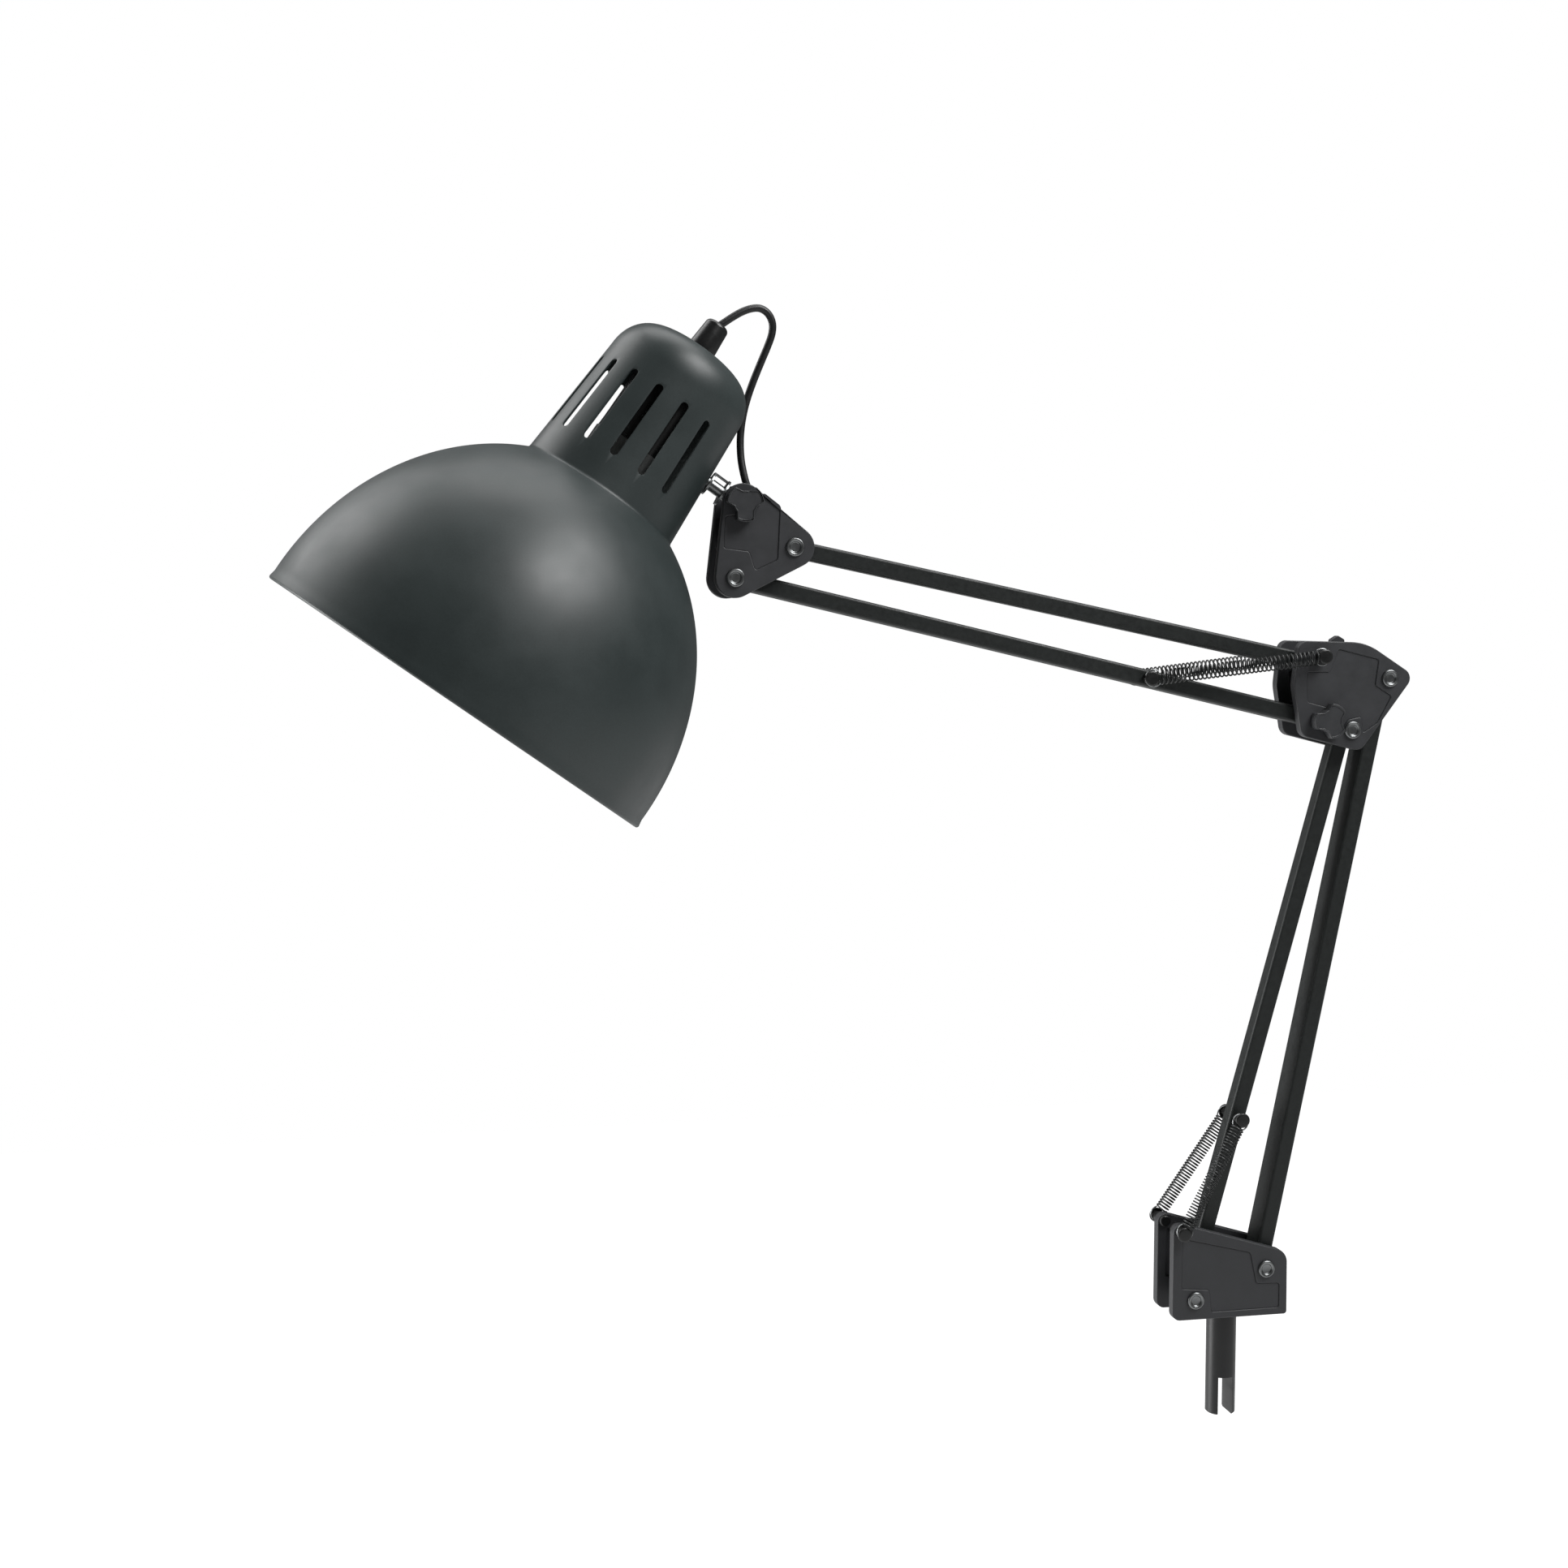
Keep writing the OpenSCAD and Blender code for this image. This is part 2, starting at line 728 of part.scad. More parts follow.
// The black body of the holder: open downwards, with a floor that carries the contact.
shell_out = socket_r + shell_t + press;
contact_r = 1.5;
module lampholder_body() {
    inside_cover = cover_r - cover_wall - press;
    floor_h0 = holder_h0 + socket_len;
    floor_h1 = floor_h0 + 5;
    color("#151515") in_shade() rotate_extrude($fn = 64)
        polygon([
            [shell_out, holder_h0], [holder_r, holder_h0], [holder_r, cover_h0], [inside_cover, cover_h0],
            [inside_cover, floor_h1], [contact_r, floor_h1], [contact_r, floor_h0], [shell_out, floor_h0]
        ]);
}
module screw_shell() {
    color("gold") in_shade() ring(holder_h0 + 1, holder_h0 + socket_len - play, socket_r, socket_r + shell_t);
}
module centre_contact() {
    head_t = 2;
    color("gold") in_shade() translate([0, 0, holder_h0 + socket_len]) {
        translate([0, 0, -head_t - play])
            cylinder(h = head_t, r = 4, $fn = fine);
        translate([0, 0, -head_t])
            cylinder(h = 7, r = contact_r - press, $fn = fine);
    }
}
// The cord grip screws down onto the nipple above the cap.
module cord_grip() {
    round = 1;
    cord_hole_r = cord_d / 2 + cord_room;
    color("#1b1b1c") in_shade() translate([0, 0, cap_top + 0.2]) rotate_extrude($fn = fine)
        polygon([
            [nipple_r + press, 0.2], [grip_r, 0.2], [grip_top_r, grip_h - round],
            [grip_top_r - round, grip_h], [cord_hole_r, grip_h], [cord_hole_r, grip_h - cord_in],
            [0, grip_h - cord_in], [0, grip_h - 5], [nipple_r + press, grip_h - 6]
        ]);
}

// ---- Springs ----

// A helix from p to q, both [x, y, z], with a straight tail to each hook.
module coil(p, q, d, turns) {
    steps = 6;
    sides = 4;
    lead = 3.4;
    v = q - p;
    length = norm(v);
    r = (d - wire_d) / 2;
    count = turns * steps;
    ax = v / length;
    side = cross(ax, [0, 1, 0]) / norm(cross(ax, [0, 1, 0]));
    up = cross(side, ax);
    function centre(i) =
        p + ax * (lead + (length - 2 * lead) * i / count)
        + (side * cos(360 * i / steps) + up * sin(360 * i / steps)) * r;
    function ring_at(i) =
        let (out = side * cos(360 * i / steps) + up * sin(360 * i / steps))
        [for (k = [0 : sides - 1])
            centre(i) + (out * cos(360 * k / sides) + ax * sin(360 * k / sides)) * wire_d / 2];
    color("#2b2c2c") polyhedron(
        points = [for (i = [0 : count]) each ring_at(i)],
        faces = concat(
            [[for (k = [0 : sides - 1]) k]],
            [for (i = [0 : count - 1]) for (k = [0 : sides - 1])
                [i * sides + k, (i + 1) * sides + k, (i + 1) * sides + (k + 1) % sides, i * sides + (k + 1) % sides]],
            [[for (k = [sides - 1 : -1 : 0]) count * sides + k]]
        )
    );
}
function lift(p, y) = [p[0], y, p[1]];
groove_back = post_head_t + 0.7;
plate_hook_y = outer + post_reach - groove_back;
lower_hook_y = narrow_depth / 2 + pin_reach - groove_back;
upper_hook_y = wide_depth / 2 + pin_reach - groove_back;
module lower_spring_front() {
    coil(lift(base_post, -plate_hook_y), lift(lower_pin, -lower_hook_y), lower_coil_d, lower_turns);
}
module lower_spring_rear() {
    coil(lift(base_post, plate_hook_y), lift(lower_pin, lower_hook_y), lower_coil_d, lower_turns);
}
module upper_spring_front() {
    coil(lift(elbow_post, -plate_hook_y), lift(upper_pin, -upper_hook_y), upper_coil_d, upper_turns);
}
module upper_spring_rear() {
    coil(lift(elbow_post, plate_hook_y), lift(upper_pin, upper_hook_y), upper_coil_d, upper_turns);
}

// ---- Cord ----

// The cord's route from the clamp in the head bracket to the top of the cord grip. It is made
// in two lengths that meet face to face at the point numbered cord_join.
cord_route = [
    [-203, 4.8, 327], [-202.8, 4.9, 331], [-202.6, 5, 335], [-203, 5.1, 339], [-204, 5.1, 343],
    [-205.6, 5.1, 347], [-207, 5.2, 351], [-208, 5.7, 355.5], [-208.6, 6.4, 360], [-208.8, 6.9, 365],
    [-208.6, 7.2, 370], [-208, 7.2, 375], [-207, 7.1, 380], [-205.6, 6.8, 385], [-203.9, 6.2, 390],
    [-202, 5.4, 395], [-200, 4.6, 400], [-198, 3.8, 405], [-196.6, 3.1, 409.5], [-196.6, 2.5, 413.6],
    [-198.4, 2, 417], [-201.6, 1.5, 418.9], [-205.4, 1.1, 418.7], [-209.4, 0.7, 417.2],
    [-213.2, 0.4, 415], [-216.5, 0.1, 412.8], [-218.15, 0, 411.64], [-219.76, 0, 409.96]
];
cord_join = 10;
// A round tube swept along the route from point number first to point number last.
module cord(first, last) {
    sides = 8;
    end = len(cord_route) - 1;
    function heading(i) =
        let (d = cord_route[min(i + 1, end)] - cord_route[max(i - 1, 0)])
        d / norm(d);
    function ring_at(i) =
        let (t = heading(i), s0 = cross(t, [0, 1, 0]), s = s0 / norm(s0), u = cross(s, t))
        [for (k = [0 : sides - 1])
            cord_route[i] + (s * cos(360 * k / sides) + u * sin(360 * k / sides)) * cord_d / 2];
    color("#1c1c1d") polyhedron(
        points = [for (i = [first : last]) each ring_at(i)],
        faces = concat(
            [[for (k = [0 : sides - 1]) k]],
            [for (i = [0 : last - first - 1]) for (k = [0 : sides - 1])
                [i * sides + k, (i + 1) * sides + k, (i + 1) * sides + (k + 1) % sides, i * sides + (k + 1) % sides]],
            [[for (k = [sides - 1 : -1 : 0]) (last - first) * sides + k]]
        )
    );
}
module cord_lower() cord(0, cord_join);
module cord_upper() cord(cord_join, len(cord_route) - 1);

stem();
stem_socket();
stem_cross_pin();
base_front_plate();
base_rear_plate();
base_front_rivet();
base_rear_rivet();
base_spring_posts();
base_washers();
lower_front_tube();
lower_spring_pin();
lower_rear_tube();
elbow_front_plate();
elbow_rear_plate();
elbow_front_rivet();
elbow_rear_rivet();
elbow_spring_posts();
elbow_washers();
elbow_bolt();
elbow_knob();
upper_top_tube();
upper_bottom_tube();
upper_spring_pin();
head_front_plate();
head_rear_plate();
head_front_rivet();
head_rear_rivet();
head_washers();
head_bolt();
head_knob();
head_cord_clamp();
swivel_tongue();
swivel_clip();
swivel_nut();
shade_shell();
lampholder_nipple();
lampholder_nut();
lampholder_cover();
lampholder_ring();
lampholder_body();
screw_shell();
centre_contact();
cord_grip();
lower_spring_front();
lower_spring_rear();
upper_spring_front();
upper_spring_rear();
cord_lower();
cord_upper();
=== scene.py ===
import json
from math import acos, asin, atan2, cos, degrees, hypot, pi, radians, sin, sqrt

import bmesh
import bpy
from mathutils import Matrix, Vector


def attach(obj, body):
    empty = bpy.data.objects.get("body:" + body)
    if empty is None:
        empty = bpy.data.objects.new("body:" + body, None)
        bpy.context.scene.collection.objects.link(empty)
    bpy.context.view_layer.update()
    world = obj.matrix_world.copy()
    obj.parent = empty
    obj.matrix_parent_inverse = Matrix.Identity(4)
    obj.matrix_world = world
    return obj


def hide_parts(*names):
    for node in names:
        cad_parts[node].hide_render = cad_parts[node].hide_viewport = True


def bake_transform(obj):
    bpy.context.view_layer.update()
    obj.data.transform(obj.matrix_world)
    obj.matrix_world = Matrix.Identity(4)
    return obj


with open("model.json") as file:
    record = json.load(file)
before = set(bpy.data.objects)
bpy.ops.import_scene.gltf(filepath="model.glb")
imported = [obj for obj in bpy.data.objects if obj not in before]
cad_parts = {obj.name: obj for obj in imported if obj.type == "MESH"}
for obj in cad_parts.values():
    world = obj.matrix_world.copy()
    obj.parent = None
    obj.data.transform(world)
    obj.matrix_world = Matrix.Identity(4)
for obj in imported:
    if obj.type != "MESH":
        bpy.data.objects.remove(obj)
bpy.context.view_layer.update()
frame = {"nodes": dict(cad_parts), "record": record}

MM = 0.001


def mm(*v):
    """A point given in millimetres, in metres."""
    return Vector(v) * MM


# ---- The lamp's sizes, in millimetres, as in the part's source ----

PLATE_IN, PLATE_OUT = 6.8, 11.2

LOWER_FRONT = (-16.5, 8.4)
LOWER_REAR = (15.2, 20.2)
BASE_POST = (-23.8, 38.4)
ELBOW = (49.889, 249.424)
ELBOW_REAR = (66.489, 271.124)
KNOB_PIVOT = (38.089, 253.424)
ELBOW_POST = (34.789, 280.324)
HEAD_FRONT = (-214.171, 312.127)
HEAD_REAR = (-190.171, 324.327)
TILT_PIVOT = (-210.871, 341.227)
LOWER_PIN = (4.373, 84.178)
UPPER_PIN = (-39.829, 271.556)

# The bell, the neck on it and the domed cap, as heights above the rim and radii.
BELL_A, BELL_B, RIM_DROP = 85.5, 100.0, 6.0
NECK_R, NECK_TOP, NECK_LEN = 33.5, 30.0, 52.5
NECK_H0 = RIM_DROP + BELL_B * sqrt(1 - (NECK_R / BELL_A) ** 2)
CAP_H0, CAP_H = NECK_H0 + NECK_LEN, 17.6
CAP_TOP = CAP_H0 + CAP_H
CAP_POWER = 0.5
NIPPLE_HOLE_R = 4.5
BEAD_R = 1.1
WALL = 0.8
SLOT_H = NECK_H0 + 29
SLOT_LEN, SLOT_W = 33.0, 3.4
CUTTER_LEN = 14

# The shade's own frame: its axis is +Z, its rim is at 0, and +X points at the arm.
# It leans by this many degrees, and the swivel holds it this far out from the neck and up it.
LEAN, SWIVEL_REACH, SWIVEL_RISE = 35, 13.5, 30
SHADE = (Matrix.Translation(mm(TILT_PIVOT[0], 0, TILT_PIVOT[1])) @ Matrix.Rotation(radians(LEAN), 4, "Y")
         @ Matrix.Translation(mm(-NECK_R - SWIVEL_REACH, 0, -NECK_H0 - SWIVEL_RISE)))

# The spring posts and pins: shank, groove and head radii, where a post ends, how far a pin sticks out
# of its tube, and how far in from the end the middle of the groove is.
POST_R, GROOVE_R, POST_HEAD_R = 2.3, 2.0, 3.1
POST_END = 16.8
PIN_REACH = 6.0
GROOVE_IN = 1.8
LOWER_TUBE_HALF, UPPER_TUBE_HALF = 3.75, 6.4

# The springs: wire radius, turns, how far from each end the close coil starts, and the coils' diameters.
WIRE_R = 0.35
TURNS = 37
LEAD = 3.3
LOWER_COIL_D, UPPER_COIL_D = 5.9, 6.4

# The knobs: radii of the lobes and of the hollows between them, height, and gap to the plate.
KNOB_R, KNOB_WAIST_R = 7.4, 4.8
KNOB_H = 4.8
KNOB_GAP = 0.35


# ---- Camera ----

def camera():
    """A 50 mm lens in front of the lamp's head and to its left, looking slightly down and to the right."""
    data = bpy.data.cameras.new("camera")
    data.lens = 50
    data.sensor_width = 36
    data.clip_start = 0.01
    eye = bpy.data.objects.new("camera", data)
    right = Vector((0.97895, -0.20410, 0.00055))
    up = Vector((0.01492, 0.07422, 0.99713))
    ahead = Vector((0.20356, 0.97613, -0.07570))
    axes = Matrix((right, up, -ahead)).transposed().to_4x4()
    eye.matrix_world = Matrix.Translation(mm(-371.4, -859.1, 296.05)) @ axes
    bpy.context.collection.objects.link(eye)
    bpy.context.scene.camera = eye


camera()


# ---- Finishes ----

def linear(hex_colour):
    """An sRGB hex colour as linear RGBA."""
    parts = [int(hex_colour[i:i + 2], 16) / 255 for i in (1, 3, 5)]
    return (*[c / 12.92 if c <= 0.04045 else ((c + 0.055) / 1.055) ** 2.4 for c in parts], 1)


def add(tree, kind, links=None, sockets=None, **settings):
    """Adds a node: settings are its fields, sockets its input values, and links come from other nodes' outputs."""
    node = tree.nodes.new(kind)
    for name, value in settings.items():
        setattr(node, name, value)
    for name, value in (sockets or {}).items():
        node.inputs[name].default_value = value
    for name, source in (links or {}).items():
        tree.links.new(source, node.inputs[name])
    return node


def finish(name, colour, spread, grain_mm, depth_mm, base, wear_mm=9, stretch=(1, 1, 1), rough_spread=0.06):
    """A finish with a fine surface grain, a slow drift between two hex colours, and uneven gloss.

    grain_mm is the grain's size and depth_mm its depth, and wear_mm is the size of the drift.
    """
    material = bpy.data.materials.new(name)
    material.use_nodes = True
    tree = material.node_tree
    shader = tree.nodes["Principled BSDF"]
    for socket, value in base.items():
        shader.inputs[socket].default_value = value
    place = add(tree, "ShaderNodeTexCoord").outputs["Object"]
    place = add(tree, "ShaderNodeMapping", {"Vector": place}, {"Scale": stretch}).outputs["Vector"]
    grain = add(tree, "ShaderNodeTexNoise", {"Vector": place}, {"Scale": 1000 / grain_mm, "Detail": 3.0})
    drift = add(tree, "ShaderNodeTexNoise", {"Vector": place},
                {"Scale": 1000 / wear_mm, "Detail": 4.0, "Roughness": 0.6})
    both = add(tree, "ShaderNodeMix", {"A": drift.outputs["Fac"], "B": grain.outputs["Fac"]}, {"Factor": 0.45})
    tint = add(tree, "ShaderNodeValToRGB", {"Fac": both.outputs["Result"]})
    tint.color_ramp.elements[0].position = 0.35
    tint.color_ramp.elements[1].position = 0.65
    tint.color_ramp.elements[0].color = linear(colour)
    tint.color_ramp.elements[1].color = linear(spread)
    tree.links.new(tint.outputs["Color"], shader.inputs["Base Color"])
    gloss = add(tree, "ShaderNodeMapRange", {"Value": drift.outputs["Fac"]}, {
        "From Min": 0.3, "From Max": 0.7,
        "To Min": base["Roughness"] - rough_spread, "To Max": base["Roughness"] + rough_spread})
    tree.links.new(gloss.outputs["Result"], shader.inputs["Roughness"])
    bump = add(tree, "ShaderNodeBump", {"Height": grain.outputs["Fac"]},
               {"Strength": 0.35, "Distance": depth_mm * MM})
    tree.links.new(bump.outputs["Normal"], shader.inputs["Normal"])
    return material


# The peel of the two coats on the shade is at its real size. The other real grains are 0.05 to 0.2 mm, too
# fine to show, and are drawn at the coarser sizes given.

# Satin powder coat on pressed steel: an orange-peel skin of about 0.7 mm that scatters a broad highlight.
shade_coat = finish("anthracite_powder_coat", "#293030", "#2f3737", 0.7, 0.02,
                    {"Roughness": 0.43, "Metallic": 0.0, "IOR": 1.5}, wear_mm=25)
# White baked enamel inside the shade, with the same faint peel.
enamel = finish("white_baked_enamel", "#d9d9d4", "#e2e2dd", 0.7, 0.02,
                {"Roughness": 0.38, "Metallic": 0.0, "IOR": 1.5}, wear_mm=30)
# Fine-texture powder coat on drawn steel tube: a speckle, drawn at 0.5 mm, that gives lit faces a dry sparkle.
tube_coat = finish("black_powder_coated_tube", "#0e1211", "#141918", 0.5, 0.05,
                   {"Roughness": 0.5, "Metallic": 0.0, "IOR": 1.5}, wear_mm=2.2)
# Glass-filled nylon from a spark-eroded mould: an even matte grain, drawn at 0.4 mm.
nylon = finish("moulded_grey_nylon", "#2d2e30", "#333437", 0.4, 0.03,
               {"Roughness": 0.52, "Metallic": 0.0, "IOR": 1.53}, wear_mm=7)
# Acetal, moulded smoother than the plates and a little paler, so its highlights are tighter; drawn at 0.4 mm.
acetal = finish("moulded_black_acetal", "#343537", "#3a3b3d", 0.4, 0.012,
                {"Roughness": 0.42, "Metallic": 0.0, "IOR": 1.48}, wear_mm=5)
# Black nylon from a polished mould, for the posts, pins, block and grip: nearly smooth, deep black.
black_nylon = finish("polished_black_nylon", "#101111", "#161717", 0.5, 0.008,
                     {"Roughness": 0.33, "Metallic": 0.0, "IOR": 1.53}, wear_mm=4)
# Blackened turned steel: fine turning marks round the bar, drawn 0.3 mm apart.
stem_steel = finish("blackened_turned_steel", "#101112", "#151617", 0.3, 0.01,
                    {"Roughness": 0.34, "Metallic": 0.0, "IOR": 1.5}, stretch=(0.15, 0.15, 1), wear_mm=6)
# Bright zinc plate on steel: highlights broken up by tumbling marks, drawn at 0.3 mm.
zinc = finish("bright_zinc_plate", "#77797a", "#8c8e8e", 0.3, 0.0005,
              {"Roughness": 0.33, "Metallic": 1.0}, wear_mm=3, rough_spread=0.05)
# Oil-blackened music wire: dark drawn steel under an oxide skin, with a faint line of light along it.
wire_steel = finish("oil_blackened_spring_wire", "#161818", "#202323", 0.2, 0.006,
                    {"Roughness": 0.4, "Metallic": 0.2, "IOR": 1.6}, wear_mm=0.8)
# Extruded PVC: slightly greasy, with faint flow marks, drawn at 0.6 mm.
sheath = finish("extruded_pvc_sheath", "#0d0e0f", "#131415", 0.6, 0.012,
                {"Roughness": 0.44, "Metallic": 0.0, "IOR": 1.53}, wear_mm=5)
# Phenolic, compression moulded: hard, glossy and black.
phenolic = finish("black_phenolic", "#0c0c0c", "#121212", 0.5, 0.006,
                  {"Roughness": 0.3, "Metallic": 0.0, "IOR": 1.6}, wear_mm=6)
# Nickel plate on a steel pressing, dulled by the lamp's heat.
holder_nickel = finish("dulled_nickel_plate", "#6c6e6d", "#858786", 0.4, 0.008,
                       {"Roughness": 0.4, "Metallic": 1.0}, wear_mm=3)
# Rolled brass: warm, with a bright, slightly brushed face.
brass = finish("rolled_brass", "#a88a4e", "#b99a5c", 0.3, 0.006,
               {"Roughness": 0.3, "Metallic": 1.0}, wear_mm=2)

SLOT_FINISH = {
    "bracket_plastic": nylon, "tube_paint": tube_coat, "stem_paint": stem_steel, "bright_steel": zinc,
    "dark_plastic": black_nylon, "knob_plastic": acetal, "shade_paint": shade_coat, "holder_plastic": phenolic,
    "holder_metal": holder_nickel, "contact_brass": brass, "spring_wire": wire_steel, "cord_sheath": sheath,
}
for part in frame["record"]["subparts"]:
    node = frame["nodes"][part["node"]]
    for holder in node.material_slots:
        holder.material = SLOT_FINISH[part["material_slot"]]


# ---- Making and placing pieces ----

def piece(name, mesh, finishes, body, replaced=()):
    """Puts a finished mesh in the scene on its body. Each face keeps its place in the list of finishes."""
    mesh.name = name
    places = [min(face.material_index, len(finishes) - 1) for face in mesh.polygons]
    mesh.materials.clear()
    for material in finishes:
        mesh.materials.append(material)
    mesh.polygons.foreach_set("material_index", places)
    thing = bpy.data.objects.new(name, mesh)
    bpy.context.collection.objects.link(thing)
    if replaced:
        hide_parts(*replaced)
    if body:
        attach(thing, body)
    return thing


def made(thing):
    """A plain mesh of what an object looks like with its modifiers, and the object is removed."""
    bpy.context.view_layer.update()
    mesh = bpy.data.meshes.new_from_object(thing.evaluated_get(bpy.context.evaluated_depsgraph_get()))
    mesh.transform(thing.matrix_world)
    bpy.data.objects.remove(thing)
    return mesh


def loose(data):
    """A working object for a mesh or curve."""
    thing = bpy.data.objects.new("working", data)
    bpy.context.collection.objects.link(thing)
    return thing


def from_bmesh(work, sharp=35):
    """A smooth-shaded mesh with its doubles merged and its faces pointing outwards. The work is used up."""
    bmesh.ops.remove_doubles(work, verts=work.verts, dist=1e-7)
    bmesh.ops.recalc_face_normals(work, faces=work.faces)
    mesh = bpy.data.meshes.new("working")
    work.to_mesh(mesh)
    work.free()
    return smooth(mesh, sharp)


def smooth(mesh, sharp=35):
    """Shades a mesh smooth, with edges sharper than the angle kept crisp."""
    mesh.shade_smooth()
    mesh.set_sharp_from_angle(angle=radians(sharp))
    return mesh


def joined(meshes):
    """Several meshes as one, with their own normals."""
    work = bmesh.new()
    for mesh in meshes:
        work.from_mesh(mesh)
    whole = bpy.data.meshes.new("working")
    work.to_mesh(whole)
    work.free()
    return smooth(whole)


def ring(work, r, h, steps):
    """A ring of new points about +Z, at a radius and height in mm."""
    turns = [2 * pi * k / steps for k in range(steps)]
    return [work.verts.new(mm(r * cos(a), r * sin(a), h)) for a in turns]


def turned(profile, place, steps=48):
    """A turned piece from a closed profile of (radius, height) in mm about +Z, put in place by a matrix."""
    work = bmesh.new()
    rings = [[work.verts.new(mm(0, 0, h))] if r < 1e-6 else ring(work, r, h, steps) for r, h in profile]
    for low, high in zip(rings, rings[1:]):
        for k in range(steps):
            n = k + 1
            corners = [low[k % len(low)], low[n % len(low)], high[n % len(high)], high[k % len(high)]]
            # At a pole two corners are the same, and the face is a triangle.
            face = list(dict.fromkeys(corners))
            if len(face) > 2:
                work.faces.new(face)
    bmesh.ops.transform(work, matrix=place, verts=work.verts)
    return from_bmesh(work)


def outwards(p, y, side):
    """A place whose +Z points out of the arm's plane: side -1 is the front."""
    return Matrix.Translation(mm(p[0], side * y, p[1])) @ Matrix.Rotation(radians(-90 * side), 4, "X")


def rounded(profile, r=0.35):
    """A turned profile with each corner between straight runs cut by a small round."""
    result = [profile[0]]
    for a, b, c in zip(profile, profile[1:], profile[2:]):
        u, v = Vector(a) - Vector(b), Vector(c) - Vector(b)
        reach = min(r, u.length * 0.45, v.length * 0.45)
        for k in range(4):
            t = k / 3
            p = Vector(b) + u.normalized() * reach * (1 - t) ** 2 + v.normalized() * reach * t ** 2
            result.append((p.x, p.y))
    return result + [profile[-1]]


# ---- Cord ----

# The cord's route from the clamp in the head bracket to the grip on the cap. It is in two lengths that meet
# at the point numbered CORD_JOIN.
CORD = [
    (-203, 4.8, 327), (-202.8, 4.9, 331), (-202.6, 5, 335), (-203, 5.1, 339), (-204, 5.1, 343),
    (-205.6, 5.1, 347), (-207, 5.2, 351), (-208, 5.7, 355.5), (-208.6, 6.4, 360), (-208.8, 6.9, 365),
    (-208.6, 7.2, 370), (-208, 7.2, 375), (-207, 7.1, 380), (-205.6, 6.8, 385), (-203.9, 6.2, 390),
    (-202, 5.4, 395), (-200, 4.6, 400), (-198, 3.8, 405), (-196.6, 3.1, 409.5), (-196.6, 2.5, 413.6),
    (-198.4, 2, 417), (-201.6, 1.5, 418.9), (-205.4, 1.1, 418.7), (-209.4, 0.7, 417.2),
    (-213.2, 0.4, 415), (-216.5, 0.1, 412.8), (-218.15, 0, 411.64), (-219.76, 0, 409.96)]
CORD_JOIN = 10
CORD_D = 3.0


def smooth_route(points, before=None, after=None, parts=5):
    """A finer route through the same points, as one Catmull-Rom curve."""
    p = [Vector(q) for q in points]
    first = Vector(before) if before else p[0] * 2 - p[1]
    last = Vector(after) if after else p[-1] * 2 - p[-2]
    p = [first, *p, last]
    route = []
    for a, b, c, d in zip(p, p[1:], p[2:], p[3:]):
        for k in range(parts):
            t = k / parts
            route.append(0.5 * (2 * b + (c - a) * t + (2 * a - 5 * b + 4 * c - d) * t * t
                                + (3 * b - 3 * c + d - a) * t ** 3))
    route.append(p[-2])
    return route


def tube_along(route, radius, sides=20):
    """A closed round tube along a route of points in mm, with a UV round and along it in mm."""
    work = bmesh.new()
    uv = work.loops.layers.uv.new("along")
    rings = []
    side = Vector((0, 1, 0))
    for i, p in enumerate(route):
        ahead = (route[min(i + 1, len(route) - 1)] - route[max(i - 1, 0)]).normalized()
        side = (side - ahead * side.dot(ahead)).normalized()
        up = ahead.cross(side)
        turns = [2 * pi * k / sides for k in range(sides)]
        rings.append([work.verts.new((p + (side * cos(a) + up * sin(a)) * radius) * MM) for a in turns])
    for i, (a, b) in enumerate(zip(rings, rings[1:])):
        for k in range(sides):
            n = (k + 1) % sides
            face = work.faces.new((a[k], a[n], b[n], b[k]))
            for loop, (s, t) in zip(face.loops, ((k, i), (k + 1, i), (k + 1, i + 1), (k, i + 1))):
                loop[uv].uv = (s / sides, t)
    work.faces.new(list(reversed(rings[0])))
    work.faces.new(rings[-1])
    bmesh.ops.recalc_face_normals(work, faces=work.faces)
    mesh = bpy.data.meshes.new("working")
    work.to_mesh(mesh)
    work.free()
    return smooth(mesh)


def cord_half(name, points, before, after):
    """One length of cord: a smooth tube along points given in mm, in place of its CAD node."""
    route = smooth_route(points, before, after)
    half = piece(name + "_sheath", tube_along(route, CORD_D / 2), [sheath], None, [name])
    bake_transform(half)


cord_half("cord_lower", CORD[:CORD_JOIN + 1], None, CORD[CORD_JOIN + 1])
cord_half("cord_upper", CORD[:CORD_JOIN - 1:-1], None, CORD[CORD_JOIN - 1])


# ---- Bracket plates ----

def arc(c, r, a0, a1, parts):
    """Points along an arc about c, between two angles in radians."""
    angles = [a0 + (a1 - a0) * k / parts for k in range(parts + 1)]
    return [(c[0] + r * cos(a), c[1] + r * sin(a)) for a in angles]


def round_outline(circles, parts=10):
    """The line round a list of circles (x, z, r), anticlockwise, as points."""
    angles = []
    for (x0, z0, r0), (x1, z1, r1) in zip(circles, circles[1:] + circles[:1]):
        angles.append(atan2(z1 - z0, x1 - x0) - acos((r0 - r1) / hypot(x1 - x0, z1 - z0)))
    points = []
    for i, (x, z, r) in enumerate(circles):
        start = angles[i - 1]
        end = start + (angles[i] - start) % (2 * pi)
        points += arc((x, z), r, start, end, max(parts, int(degrees(end - start) / 5)))
    return points


